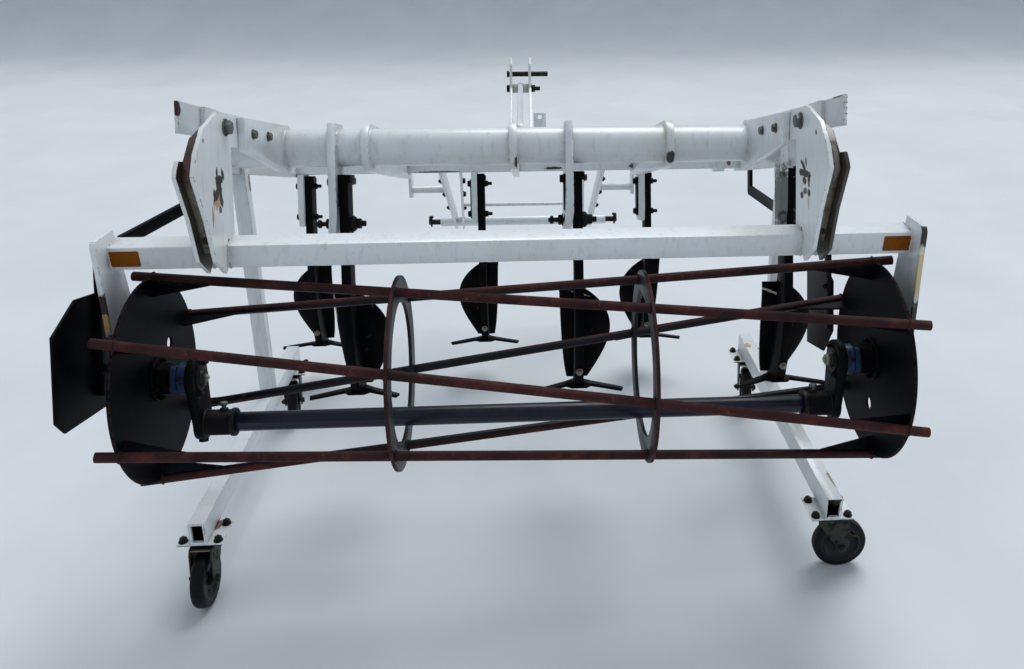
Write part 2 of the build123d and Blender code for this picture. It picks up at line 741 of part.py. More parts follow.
# Castor plates with race and kingpin, fixed under the rails
with BuildPart() as castor_plates:
    for castor in castors:
        place = (castor.x, pipe_y + castor.forward)
        with BuildSketch(Plane.XY.offset(plate_bottom)):
            with Locations(place):
                Rectangle(castor_plate_x, castor_plate_y)
        extrude(amount=castor_plate_thickness)
        with BuildSketch(Plane.XY.offset(race_bottom)):
            with Locations(place):
                Circle(race_radius)
        extrude(amount=race_height)
        with BuildSketch(Plane.XY.offset(crown_bottom - kingpin_tail)):
            with Locations(place):
                Circle(kingpin_radius)
        extrude(amount=race_bottom - crown_bottom + kingpin_tail)


# Upright plane through a castor, with the trail as its first axis and up as its second
def castor_side(castor, offset):
    forward = Vector(cos(radians(castor.turn)), sin(radians(castor.turn)), 0)
    across = forward.cross(Vector(0, 0, 1))
    origin = Vector(castor.x, pipe_y + castor.forward, 0) + across * offset
    return Plane(origin=origin, x_dir=forward, z_dir=across)


fork_outline = [(-fork_back, crown_top), (crown_radius, crown_top), (trail + fork_eye, wheel_radius),
                (trail, wheel_radius - fork_eye), (trail - fork_eye, wheel_radius)]
fork_parts = []
rim_parts = []
tyre_parts = []
for castor in castors:
    # Fork with a crown that turns on the kingpin and an axle bolt
    with BuildPart() as fork:
        with BuildSketch(Plane.XY.offset(crown_bottom)):
            with Locations((castor.x, pipe_y + castor.forward)):
                Circle(crown_radius)
        extrude(amount=crown_thickness)
        for start in (-fork_leg_inner - fork_leg, fork_leg_inner):
            with BuildSketch(castor_side(castor, start)):
                Polygon(fork_outline)
                with Locations((trail, wheel_radius)):
                    Circle(fork_eye)
            extrude(amount=fork_leg)
        with BuildSketch(castor_side(castor, -fork_leg_inner - fork_leg)):
            with Locations((trail, wheel_radius)):
                Circle(wheel_axle_radius)
        extrude(amount=2 * (fork_leg_inner + fork_leg))
        with BuildSketch(Plane.XY.offset(crown_bottom)):
            with Locations((castor.x, pipe_y + castor.forward)):
                Circle(kingpin_radius + running)
        extrude(amount=crown_thickness, mode=Mode.SUBTRACT)
    fork.part.label = "castor_fork_" + castor.name
    fork_parts.append(fork.part)
    # Rim with a hub that runs on the axle bolt
    with BuildPart() as rim:
        with BuildSketch(castor_side(castor, -wheel_width / 2)):
            with Locations((trail, wheel_radius)):
                Circle(rim_radius)
                Circle(rim_radius - rim_wall, mode=Mode.SUBTRACT)
        extrude(amount=wheel_width)
        with BuildSketch(castor_side(castor, -rim_web / 2)):
            with Locations((trail, wheel_radius)):
                Circle(rim_radius - rim_wall)
        extrude(amount=rim_web)
        with BuildSketch(castor_side(castor, -rim_hub_width / 2)):
            with Locations((trail, wheel_radius)):
                Circle(rim_hub_radius)
        extrude(amount=rim_hub_width)
        with BuildSketch(castor_side(castor, -rim_hub_width / 2)):
            with Locations((trail, wheel_radius)):
                Circle(wheel_axle_radius + running)
        extrude(amount=rim_hub_width, mode=Mode.SUBTRACT)
    rim.part.label = "castor_rim_" + castor.name
    rim_parts.append(rim.part)
    # Rubber tyre on the rim
    with BuildPart() as tyre:
        with BuildSketch(castor_side(castor, -wheel_width / 2)):
            with Locations((trail, wheel_radius)):
                Circle(wheel_radius)
                Circle(rim_radius, mode=Mode.SUBTRACT)
        extrude(amount=wheel_width)
    tyre.part.label = "castor_tyre_" + castor.name
    tyre_parts.append(tyre.part)

main_pipe.part.label = "main_pipe"
front_beam.part.label = "front_beam"
link_plates.part.label = "link_plates"
side_plates.part.label = "side_plates"
arm_brackets.part.label = "arm_brackets"
arms.part.label = "arms"
rear_tube.part.label = "rear_tube"
end_plates.part.label = "end_plates"
stub_axles.part.label = "stub_axles"
bearing_units.part.label = "bearing_units"
crank_plates.part.label = "crank_plates"
inner_beam.part.label = "inner_beam"
roller_discs.part.label = "roller_discs"
roller_rings.part.label = "roller_rings"
roller_rods.part.label = "roller_rods"
roller_gussets.part.label = "roller_gussets"
mast_plates.part.label = "mast_plates"
mast_stay.part.label = "mast_stay"
mast_pins.part.label = "mast_pins"
hitch_cheeks.part.label = "hitch_cheeks"
lower_hitch_bar.part.label = "lower_hitch_bar"
lower_hitch_pins.part.label = "lower_hitch_pins"
hitch_side_tubes.part.label = "hitch_side_tubes"
front_hangers.part.label = "front_hangers"
rear_hangers.part.label = "rear_hangers"
shanks.part.label = "shanks"
mouldboards.part.label = "mouldboards"
shares.part.label = "shares"
guard_bars.part.label = "guard_bars"
guard_plates.part.label = "guard_plates"
stand_rails.part.label = "stand_rails"
stand_posts.part.label = "stand_posts"
castor_plates.part.label = "castor_plates"

pieces = [main_pipe.part, front_beam.part, link_plates.part, side_plates.part, arm_brackets.part,
          arms.part, rear_tube.part, end_plates.part, stub_axles.part, bearing_units.part,
          crank_plates.part, inner_beam.part, roller_discs.part, roller_rings.part,
          roller_rods.part, roller_gussets.part, mast_plates.part, mast_stay.part,
          mast_pins.part, hitch_cheeks.part, lower_hitch_bar.part, lower_hitch_pins.part,
          hitch_side_tubes.part, front_hangers.part, rear_hangers.part, shanks.part,
          mouldboards.part, shares.part, guard_bars.part, guard_plates.part,
          stand_rails.part, stand_posts.part, castor_plates.part]
pieces = pieces + fork_parts + rim_parts + tyre_parts

os.makedirs("parts", exist_ok=True)
for piece in pieces:
    export_step(piece, "parts/" + piece.label + ".step")
    box = piece.bounding_box()
    print(piece.label, len(piece.solids()), "solids", box.min, box.max, round(piece.volume / 1000), "cm3")
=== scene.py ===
import json
import math
import random
from functools import partial
import bmesh
import bpy
from mathutils import Matrix, Vector
from mathutils.bvhtree import BVHTree

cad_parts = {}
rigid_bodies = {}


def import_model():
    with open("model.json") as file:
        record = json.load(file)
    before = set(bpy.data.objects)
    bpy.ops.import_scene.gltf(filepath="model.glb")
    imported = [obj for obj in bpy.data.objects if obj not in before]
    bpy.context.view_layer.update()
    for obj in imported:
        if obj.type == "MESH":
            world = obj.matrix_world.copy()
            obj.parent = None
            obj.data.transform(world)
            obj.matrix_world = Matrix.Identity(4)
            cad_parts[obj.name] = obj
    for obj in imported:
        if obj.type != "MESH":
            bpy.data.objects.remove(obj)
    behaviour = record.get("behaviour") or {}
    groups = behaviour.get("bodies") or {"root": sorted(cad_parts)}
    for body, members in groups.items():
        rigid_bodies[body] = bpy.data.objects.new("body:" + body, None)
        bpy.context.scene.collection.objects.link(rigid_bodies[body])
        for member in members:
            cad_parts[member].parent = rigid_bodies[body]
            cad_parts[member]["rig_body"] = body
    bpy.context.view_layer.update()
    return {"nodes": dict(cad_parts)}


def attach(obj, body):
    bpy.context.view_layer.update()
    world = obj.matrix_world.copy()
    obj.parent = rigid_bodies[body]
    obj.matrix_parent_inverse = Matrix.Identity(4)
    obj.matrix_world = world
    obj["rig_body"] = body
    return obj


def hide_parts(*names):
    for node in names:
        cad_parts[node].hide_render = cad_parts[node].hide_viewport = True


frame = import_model()
print("frame loaded")

# The machine stands nose down, so its own forward and up lean against the floor's
# pipe places are on the floor's own axes, the roller's axle is measured from the pipe along the machine
machine = {"noseDownDeg": 15.57, "pipeForwardMm": -193.2, "pipeHeightMm": 1033.0,
           "axleForwardMm": -378.0, "axleUpMm": -536.0}
lean = math.radians(machine["noseDownDeg"])
pipeSpot = Vector((0, machine["pipeForwardMm"] / 1000, machine["pipeHeightMm"] / 1000))
millimetre = Matrix.Scale(0.001, 4)
deckMatrix = Matrix.Translation(pipeSpot) @ Matrix.Rotation(-lean, 4, "X") @ millimetre
hands = (-1, 1)
random.seed(7)


# sRGB hex to the linear colour that Blender works in
def paintColour(hexText):
    values = [int(hexText[k:k + 2], 16) / 255 for k in (0, 2, 4)]
    return [v / 12.92 if v <= 0.04045 else ((v + 0.055) / 1.055) ** 2.4 for v in values] + [1.0]


# One node with its settings, linked where a value is another node's output
# the answer is its own output
def addNode(tree, kind, values, output=0):
    node = tree.nodes.new("ShaderNode" + kind)
    for name, value in values.items():
        if isinstance(value, bpy.types.NodeSocket):
            tree.links.new(value, node.inputs[name])
        elif isinstance(name, str) and hasattr(node, name):
            setattr(node, name, value)
        else:
            node.inputs[name].default_value = value
    return node.outputs[output]


# A material with its shader and a place in metres, measured along the leaning machine or the floor
def startMaterial(name, leaning=True, **sockets):
    material = bpy.data.materials.new(name)
    material.use_nodes = True
    tree = material.node_tree
    shader = tree.nodes["Principled BSDF"]
    for socket, value in sockets.items():
        shader.inputs[socket.replace("_", " ")].default_value = value
    place = addNode(tree, "TexCoord", {}, "Object")
    if leaning:
        place = addNode(tree, "VectorMath", {"operation": "SUBTRACT", 0: place, 1: pipeSpot})
        place = addNode(tree, "VectorRotate", {"rotation_type": "X_AXIS", "Vector": place, "Angle": lean})
    return material, tree, shader, place


# Where cloudy grain of one size in millimetres passes from low to high
def grainMask(tree, place, sizeMm, low, high, most=1.0, detail=4):
    grain = addNode(tree, "TexNoise", {"Vector": place, "Scale": 1000 / sizeMm, "Detail": detail,
                                       "Roughness": 0.6})
    return addNode(tree, "MapRange", {"Value": grain, "From Min": low, "From Max": high, "To Max": most})


# Tones laid one over another, each where its own grain lets it
# each is a tone, its grain in millimetres, where the grain lets it begin and is full, and its strength
def mottle(tree, place, colour, tones):
    for tone, sizeMm, low, high, most in tones:
        mask = grainMask(tree, place, sizeMm, low, high, most)
        colour = addNode(tree, "Mix", {"data_type": "RGBA", 0: mask, 6: colour, 7: paintColour(tone)}, 2)
    return colour


# How near a point is to an outer edge, from the rounded normal, broken up by grain
def rubbedEdge(tree, place, widthMm, grainMm, low, high):
    rounded = addNode(tree, "Bevel", {"samples": 4, "Radius": widthMm / 1000})
    flat = addNode(tree, "NewGeometry", {}, "Normal")
    along = addNode(tree, "VectorMath", {"operation": "DOT_PRODUCT", 0: rounded, 1: flat}, "Value")
    near = addNode(tree, "MapRange", {"Value": along, "From Min": 0.972, "From Max": 0.92})
    broken = grainMask(tree, place, grainMm, low, high, 1.0, 5)
    return addNode(tree, "Math", {"operation": "MULTIPLY", 0: near, 1: broken})


# Ragged spots of another tone: middle, half sizes, tone, strength and turns in degrees
# the answer is the colour and a mask of all that is worn
def wornSpots(tree, place, colour, worn, spots, raggedMm=11):
    ragged = addNode(tree, "TexNoise", {"Vector": place, "Scale": 1000 / raggedMm, "Detail": 5,
                                        "Roughness": 0.65}, "Color")
    ragged = addNode(tree, "VectorMath", {"operation": "MULTIPLY_ADD", 0: ragged, 1: (1.3, 1.3, 1.3),
                                          2: (-0.65, -0.65, -0.65)})
    for spot, size, tone, strength, *turns in spots:
        turned = [math.radians(t) for t in (turns[0] if turns else (0, 0, 0))]
        local = addNode(tree, "Mapping", {"vector_type": "TEXTURE", "Vector": place, "Rotation": turned,
                                          "Location": Vector(spot) / 1000, "Scale": Vector(size) / 1000})
        local = addNode(tree, "VectorMath", {"operation": "ADD", 0: local, 1: ragged})
        length = addNode(tree, "VectorMath", {"operation": "LENGTH", 0: local}, "Value")
        mask = addNode(tree, "MapRange", {"Value": length, "From Min": 1.0, "From Max": 0.78,
                                          "To Max": strength})
        colour = addNode(tree, "Mix", {"data_type": "RGBA", 0: mask, 6: colour, 7: paintColour(tone)}, 2)
        worn = addNode(tree, "Math", {"operation": "MAXIMUM", 0: worn, 1: mask})
    return colour, worn


# The colour goes to the shader, the gloss falls where the surface is worn, and fine grain breaks up the shine
def finishShader(tree, shader, place, colour, worn, gloss, dull, grainMm, depthMm, strength=0.4):
    tree.links.new(colour, shader.inputs["Base Color"])
    rough = addNode(tree, "MapRange", {"Value": worn, "To Min": gloss, "To Max": dull})
    tree.links.new(rough, shader.inputs["Roughness"])
    grain = addNode(tree, "TexNoise", {"Vector": place, "Scale": 1000 / grainMm, "Detail": 4})
    bump = addNode(tree, "Bump", {"Height": grain, "Strength": strength, "Distance": depthMm / 1000})
    tree.links.new(bump, shader.inputs["Normal"])


# Alkyd enamel sprayed on welded steel: cool white and glossy, darker in its corners with grime and painted
# shade, chipped along its edges
whiteEnamel = {"paint": "E4E9EC", "yellowed": "D3D5CE", "grimeAndShade": "857F72", "chip": "3E2419",
               "cloudMm": 260, "speckMm": 9, "chipMm": 16, "edgeMm": 3.5, "cornerGrimeAndShadeMm": 28, "orangePeelMm": 5,
               "runMm": 14, "runStretch": 0.16}


def paintWhite(name, leaning=True, spots=(), chips=0.60, cornerGrimeAndShade=0.7, lining=None):
    material, tree, shader, place = startMaterial(name, leaning, IOR=1.5, Coat_Weight=0.25,
                                                  Coat_Roughness=0.12)
    colour = mottle(tree, place, paintColour(whiteEnamel["paint"]),
                    [(whiteEnamel["yellowed"], whiteEnamel["cloudMm"], 0.42, 0.75, 0.8),
                     (whiteEnamel["grimeAndShade"], whiteEnamel["speckMm"], 0.70, 0.74, 0.5)])
    # faint runs of rain dirt, long in the upright direction
    runs = addNode(tree, "Mapping", {"Vector": place, "Scale": (1, 1, whiteEnamel["runStretch"])})
    dirt = grainMask(tree, runs, whiteEnamel["runMm"], 0.54, 0.72, 0.2, 3)
    # the darkening in corners, found by ambient occlusion, is grime together with painted shade
    reach = whiteEnamel["cornerGrimeAndShadeMm"] / 1000
    corner = addNode(tree, "AmbientOcclusion", {"samples": 4, "Distance": reach}, "AO")
    corner = addNode(tree, "MapRange", {"Value": corner, "From Min": 0.85, "From Max": 0.3, "To Max": cornerGrimeAndShade})
    patchy = grainMask(tree, place, 30, 0.3, 0.6)
    corner = addNode(tree, "Math", {"operation": "MULTIPLY", 0: corner, 1: patchy})
    worn = rubbedEdge(tree, place, whiteEnamel["edgeMm"], whiteEnamel["chipMm"], chips - 0.015, chips + 0.015)
    for mask, tone in ((dirt, "grimeAndShade"), (corner, "grimeAndShade"), (worn, "chip")):
        toneColour = paintColour(whiteEnamel[tone])
        colour = addNode(tree, "Mix", {"data_type": "RGBA", 0: mask, 6: colour, 7: toneColour}, 2)
    if lining:
        colour = lining(tree, place, colour)
    colour, worn = wornSpots(tree, place, colour, worn, spots)
    finishShader(tree, shader, place, colour, worn, 0.32, 0.8, whiteEnamel["orangePeelMm"], 0.25)
    return material


plainWhite = paintWhite("sprayedWhiteEnamel")

# Scars on the arms, where a load has knocked the paint off, with tan flakes and brown runs below
black, brown, tan, stain = "150C0B", "341A12", "A87C4E", "8A6A48"
# for each hand: forward and up, half sizes, tone, strength and turn in degrees
scars = {
    1: [((-455, -68), (25.7, 6.7), black, 1, 35), ((-475, -61), (12.2, 5.6), black, 1, 75),
        ((-466, -87), (48.6, 10.1), black, 1, 6), ((-494, -100), (9.5, 19), black, 1, 0),
        ((-465, -103), (17.6, 9), brown, 1, 20), ((-469, -127), (14.9, 9), black, 0.9, 0),
        ((-495, -131), (10.8, 11.2), brown, 1, 0), ((-446, -137), (12.2, 9), brown, 1, 0),
        ((-446, -112), (12.2, 7.8), "D8D2C4", 0.9, 0), ((-492, -152), (6.8, 17.9), stain, 0.5, 0)],
    -1: [((-508, -126), (8.1, 24.6), tan, 0.9, 0), ((-494, -130), (8.1, 20.2), tan, 0.8, 6),
         ((-522, -130), (6.8, 16.8), tan, 0.8, 0), ((-500, -66), (6.8, 12.3), black, 1, 0),
         ((-465, -69), (8.1, 16.8), black, 1, 34), ((-480, -80), (16.2, 10.1), black, 1, 0),
         ((-491, -93), (17.6, 26.9), black, 1, 24), ((-505, -113), (18.9, 12.3), brown, 1, 30),
         ((-519, -115), (8.1, 16.8), brown, 1, 11), ((-479, -122), (10.8, 21.3), brown, 1, 20),
         ((-532, -160), (5.4, 22.4), stain, 0.8, 0), ((-486, -146), (9.5, 9), brown, 0.9, 0)]}
armSpots = [((hand * 648, f, u), (20, long, high), tone, strength, (turn, 0, 0))
            for hand in hands for (f, u), (long, high), tone, strength, turn in scars[hand]]
armSpots += [((-668, -512, -210), (14, 22, 10), "2A1710", 1.0),
             ((668, -505, -216), (14, 20, 10), "2A1710", 1.0),
             ((668, -500, -238), (7, 16, 24), "4A2C1C", 0.8)]
rightArmSpots = armSpots + [((672, -595, -60), (6, 34, 58), "8F8A80", 0.7)]

# Between its two plates each arm is rusted brown above and stained olive below, with painted shade darkest
# along the plates
channel = {"fromMm": 655.0, "toMm": {-1: 681.5, 1: 690.0}, "middleMm": 668.25,
           "rustFromMm": -60, "rustToMm": -25,
           "rust": "331A11", "fresh": "5E3018", "scale": "120B08", "stain": "6F6A56", "pale": "8A846E",
           "plateShade": "2A261F", "plateShadeFromMm": 9.5, "plateShadeToMm": 12.5}


def armLining(hand, tree, place, colour):
    axes = addNode(tree, "SeparateXYZ", {"Vector": place}, 0).node.outputs
    across = addNode(tree, "Math", {"operation": "ABSOLUTE", 0: axes[0]})
    # the paint starts at the plates' own faces, 0.1 to 0.3 mm outside the channel
    near, far = channel["fromMm"] / 1000, channel["toMm"][hand] / 1000
    low = addNode(tree, "MapRange", {"Value": across, "From Min": near - 0.0003, "From Max": near - 0.0001})
    high = addNode(tree, "MapRange", {"Value": across, "From Min": far + 0.0003, "From Max": far + 0.0001})
    inside = addNode(tree, "Math", {"operation": "MULTIPLY", 0: low, 1: high})
    wobble = addNode(tree, "TexNoise", {"Vector": place, "Scale": 1000 / 45, "Detail": 5})
    height = addNode(tree, "Math", {"operation": "MULTIPLY_ADD", 0: wobble, 1: 0.12, 2: axes[2]})
    rusty = addNode(tree, "MapRange", {"Value": height, "From Min": channel["rustFromMm"] / 1000,
                                       "From Max": channel["rustToMm"] / 1000})
    stained, rusted, plateShadeTone = (paintColour(channel[tone]) for tone in ("stain", "rust", "plateShade"))
    lining = addNode(tree, "Mix", {"data_type": "RGBA", 0: rusty, 6: stained, 7: rusted}, 2)
    lining = mottle(tree, place, lining, [(channel["fresh"], 34, 0.5, 0.62, 0.6),
                                          (channel["scale"], 26, 0.55, 0.66, 0.75),
                                          (channel["pale"], 40, 0.6, 0.75, 0.4)])
    # painted shade in the inside corners: a dark band beside each plate
    middle = addNode(tree, "Math", {"operation": "SUBTRACT", 0: across, 1: channel["middleMm"] / 1000})
    middle = addNode(tree, "Math", {"operation": "ABSOLUTE", 0: middle})
    beside = addNode(tree, "MapRange", {"Value": middle, "From Min": channel["plateShadeFromMm"] / 1000,
                                        "From Max": channel["plateShadeToMm"] / 1000, "To Max": 0.85})
    lining = addNode(tree, "Mix", {"data_type": "RGBA", 0: beside, 6: lining, 7: plateShadeTone}, 2)
    return addNode(tree, "Mix", {"data_type": "RGBA", 0: inside, 6: colour, 7: lining}, 2)


armWhite = paintWhite("sprayedWhiteEnamelRustedArms", True, armSpots, 0.57, 0.8, partial(armLining, -1))
armDark = paintWhite("rustedEnamelRightArm", True, rightArmSpots, 0.57, 0.8, partial(armLining, 1))

# The end plates' rear edges have lost their paint in bands, tan where it flaked last
bands = {-1: [(-350, 27, "2A1A14"), (-394, 24, "C09A6A"), (-470, 62, "30211B")],
         1: [(-230, 33, "2E170F"), (-322, 60, "DCC99C"), (-452, 72, "33231C")]}
sides = {-1: "Left", 1: "Right"}
edgeWhite = {}
for hand in hands:
    edgeSpots = [((hand * 912, -460, u), (60, 200, half), tone, 0.97) for u, half, tone in bands[hand]]
    edgeWhite[hand] = paintWhite("flakedWhiteEnamelEdge" + sides[hand], True, edgeSpots, 0.55, 0.8)

# The side plates' tails are scraped bare along their ends
tailSpots = [((-803, -292, 88), (14, 20, 22), "35170F", 1.0), ((-801, -296, 50), (4, 10, 26), "B89A72", 0.8),
             ((806, -240, 106), (14, 46, 5), "4E2C20", 0.9), ((810, -292, 70), (6, 4, 34), "6B3A2C", 0.8)]
tailWhite = paintWhite("sprayedWhiteEnamelScrapedTail", True, tailSpots, 0.54, 0.7)

# The front beam is rusty on its rear face beside the right collar; black patches along its foot are painted
# shadow of the pipe, and it is black at the plates
beamSpots = [((749, 706, -38), (9, 8, 21), "6A3A26", 0.95), ((112, 706, -57), (36, 8, 6), "141110", 0.95),
             ((400, 706, -53), (18, 8, 8), "141110", 0.9), ((-300, 706, -64), (90, 6, 4), "14120F", 0.8)]
beamWhite = paintWhite("sprayedWhiteEnamelBeam", True, beamSpots, 0.6, 0.7)
linkSpots = [((-9, -50, -52), (10, 30, 24), "171312", 0.95), ((409, -52, -38), (14, 24, 24), "171312", 0.95),
             ((28, -50, -66), (5, 20, 12), "2A2320", 0.8)]
linkWhite = paintWhite("sprayedWhiteEnamelLinks", True, linkSpots, 0.58, 0.8)
# The right hanger is olive grey below the pipe, partly dirt and partly painted shade, and black around its
# clamp bolt
hangerSpots = [((720, -40, -160), (18, 90, 125), "66695F", 0.95),
               ((720, -50, -205), (14, 30, 22), "1E1A17", 0.8)]
hangerWhite = paintWhite("sprayedWhiteEnamelHangers", True, hangerSpots, 0.58, 0.8)

# Rust on the stand, in floor millimetres
railSpots = [((801, -652, 236), (7, 44, 8), "8E7A34", 0.9, (0, 0, 5)),
             ((770, 132, 236), (12, 18, 12), "B98A2C", 0.8),
             ((-778, -652, 176), (10, 26, 6), "7A4A32", 0.9), ((748, -632, 176), (7, 20, 5), "9A7A5A", 0.7)]
railWhite = paintWhite("sprayedWhiteEnamelStand", False, railSpots, 0.60, 0.6)
postSpots = [((-781, -70, 905), (8, 14, 30), "7A3F30", 0.8), ((761, -70, 900), (10, 14, 34), "7C3B33", 0.9),
             ((761, -66, 960), (10, 14, 20), "8A5A48", 0.7)]
postWhite = paintWhite("sprayedWhiteEnamelPosts", False, postSpots, 0.6, 0.6)
print("white enamel mixed")


# Black enamel on soil tools, weathered to a dead satin: almost no shine, a little dust, brown rubbed edges
def paintBlack(name, tones, shine=0.06, rub="2C1A15", rubAt=0.54, spots=(), leaning=True):
    material, tree, shader, place = startMaterial(name, leaning, IOR=1.5, Specular_IOR_Level=shine)
    colour = mottle(tree, place, paintColour(tones[0]), tones[1:])
    worn = rubbedEdge(tree, place, 4, 12, rubAt, rubAt + 0.06)
    colour = addNode(tree, "Mix", {"data_type": "RGBA", 0: worn, 6: colour, 7: paintColour(rub)}, 2)
    colour, worn = wornSpots(tree, place, colour, worn, spots)
    finishShader(tree, shader, place, colour, worn, 0.5, 0.75, 7, 0.35)
    return material


# Cream soil dried along one board's edge, and pale rims along the top edges of the other ears
boardSpots = [((-529, 45, -484), (4, 30, 84), "D9D2C2", 0.95),
              ((-413, 48, -426), (19, 24, 3), "C9CBC8", 0.9, (0, 44, 0)),
              ((158, 48, -419), (33, 24, 3), "C9CBC8", 0.9, (0, 17, 0)),
              ((722, 48, -430), (50, 24, 4), "C9CBC8", 0.9, (0, 22, 0))]
boardBlack = paintBlack("weatheredBlackEnamelBoards",
                        ["050607", ("121110", 70, 0.5, 0.75, 0.7), ("1E1511", 30, 0.64, 0.72, 0.5)],
                        0.05, "231713", 0.58, boardSpots)
shankBlack = paintBlack("weatheredBlackEnamelTines",
                        ["060709", ("151312", 60, 0.5, 0.75, 0.7), ("22140F", 34, 0.62, 0.7, 0.6)])
guardBlack = paintBlack("weatheredBlackEnamelGuards",
                        ["08090C", ("1B1A1A", 80, 0.46, 0.75, 0.7), ("2A1A14", 40, 0.64, 0.72, 0.5)])
# Discs and gussets keep more of their enamel, black and nearly clean with clouds of painted blue reflection,
# and are rubbed brown at the rims
discBlack = paintBlack("blackEnamelDiscsPaintedBlueReflection",
                       ["03070B", ("0A131A", 90, 0.42, 0.75, 0.8), ("180F10", 45, 0.62, 0.72, 0.5)],
                       0.05, "4A3230", 0.46)
# Black oxide on bolts: a thin oiled film, so a little shine, with rust and dust in small specks
fastenerBlack = paintBlack("blackOxideFasteners",
                           ["0B0B0C", ("1E1512", 14, 0.52, 0.62, 0.8), ("34322E", 9, 0.64, 0.72, 0.5)],
                           0.2, "2E221C", 0.54)
# Inside the stand's rails the bare tube has rusted, and is darkened further with painted shade; it gives
# nearly no light back
railRustAndShade = paintBlack("rustAndPaintedShadeInsideTubes", ["1C100C", ("38211A", 30, 0.45, 0.65, 0.8)],
                      0.1, "2A1710", 0.6, (), False)

# The cage keeps black enamel on its inner faces, with clouds of painted blue sheen for the sky's reflection,
# and is rubbed to red-brown rust where it rolls on soil
cageEnamel = {"paint": "0A0E14", "sheen": "161D26", "rust": "3A1B19", "fresh": "542720", "fleck": "6E4139",
              "deep": "170A0B", "flakeMm": 18}


def paintCage(name, low, high):
    material, tree, shader, place = startMaterial(name, True, IOR=1.5, Specular_IOR_Level=0.22)
    centre = Vector((0, machine["axleForwardMm"], machine["axleUpMm"])) / 1000
    outward = addNode(tree, "VectorMath", {"operation": "SUBTRACT", 0: place, 1: centre})
    outward = addNode(tree, "VectorMath", {"operation": "MULTIPLY", 0: outward, 1: (0, 1, 1)})
    outward = addNode(tree, "VectorMath", {"operation": "NORMALIZE", 0: outward})
    facing = addNode(tree, "TexCoord", {}, "Normal")
    facing = addNode(tree, "VectorRotate", {"rotation_type": "X_AXIS", "Vector": facing, "Angle": lean})
    lifted = addNode(tree, "VectorMath", {"operation": "DOT_PRODUCT", 0: outward, 1: facing}, "Value")
    flakes = addNode(tree, "TexNoise", {"Vector": place, "Scale": 1000 / cageEnamel["flakeMm"], "Detail": 6,
                                        "Roughness": 0.65})
    lifted = addNode(tree, "Math", {"operation": "MULTIPLY_ADD", 0: flakes, 1: 0.9, 2: lifted})
    rubbed = addNode(tree, "MapRange", {"Value": lifted, "From Min": low + 0.45, "From Max": high + 0.45})
    # the blue-grey sheen clouds on the enamel are painted reflection
    enamel = mottle(tree, place, paintColour(cageEnamel["paint"]),
                    [(cageEnamel["sheen"], 90, 0.4, 0.75, 1.0)])
    rust = mottle(tree, place, paintColour(cageEnamel["rust"]),
                  [(cageEnamel["fresh"], 34, 0.5, 0.66, 0.8), (cageEnamel["fleck"], 13, 0.62, 0.72, 0.6),
                   (cageEnamel["deep"], 160, 0.46, 0.64, 0.75)])
    colour = addNode(tree, "Mix", {"data_type": "RGBA", 0: rubbed, 6: enamel, 7: rust}, 2)
    finishShader(tree, shader, place, colour, rubbed, 0.42, 0.74, 5, 0.4, 0.5)
    return material


rodRust = paintCage("rustedBlackEnamelRods", -0.85, -0.35)
ringRust = paintCage("rubbedBlackEnamelRings", 0.1, 0.7)

# Gloss navy enamel on the drawn tube inside the cage, with one long clear highlight and grey dust
material, tree, shader, place = startMaterial("glossNavyEnamelTube", True, IOR=1.5, Specular_IOR_Level=0.3,
                                              Coat_Weight=0.12, Coat_Roughness=0.15)
colour = mottle(tree, place, paintColour("060C1E"), [("141B2C", 60, 0.5, 0.75, 0.8)])
finishShader(tree, shader, place, colour, grainMask(tree, place, 60, 0.5, 0.75), 0.3, 0.55, 12, 0.3)
tubeNavy = material

# Blue machinery enamel on sand-cast iron: the casting's grain shows through, with near-black clouds
material, tree, shader, place = startMaterial("blueEnamelCastIron", True, IOR=1.5, Specular_IOR_Level=0.3)
colour = mottle(tree, place, paintColour("113260"), [("0B1C37", 25, 0.38, 0.65, 0.9),
                                                     ("06080E", 14, 0.52, 0.64, 0.85)])
finishShader(tree, shader, place, colour, grainMask(tree, place, 25, 0.4, 0.7), 0.36, 0.6, 3.5, 0.5)
bearingBlue = material


# Bare steel, turned or cut: a metal, so its own default IOR, with brown bloom and fine tool marks
def bareSteel(name, tint, bloom, bloomed, metallic, roughness, leaning=True):
    material, tree, shader, place = startMaterial(name, leaning, Metallic=metallic)
    rust = grainMask(tree, place, 16, 0.62 - 0.2 * bloomed, 0.72 - 0.2 * bloomed, 1.0, 6)
    colour = addNode(tree, "Mix", {"data_type": "RGBA", 0: rust, 6: paintColour(tint),
                                   7: paintColour(bloom)}, 2)
    finishShader(tree, shader, place, colour, rust, roughness, 0.75, 2.5, 0.15)
    return material


pinSteel = bareSteel("turnedSteelOiled", "242220", "1E120E", 0.7, 0.6, 0.45)
brightSteel = bareSteel("zincedSteelBolts", "8E8A7C", "4E4234", 0.4, 0.85, 0.42)
greySteel = bareSteel("dulledZincedBolts", "6A6E6B", "3E372F", 0.4, 0.7, 0.5)
linchSteel = bareSteel("sprungWireSteel", "3A3936", "241E19", 0.4, 0.8, 0.4)
# Yellow-passivated zinc on pressed steel, gone dark olive and dull out of doors
castorZinc = bareSteel("passivatedZincPressing", "2E322D", "1A1A16", 0.5, 0.55, 0.5, False)
castorLipZinc = bareSteel("passivatedZincRolledEdge", "857E70", "3E382E", 0.3, 0.8, 0.4, False)
pedalZinc = bareSteel("passivatedZincPedals", "34301F", "1C1A12", 0.5, 0.55, 0.5, False)
castorBolt = bareSteel("blackenedCastorBolts", "161614", "22150F", 0.4, 0.5, 0.5, False)


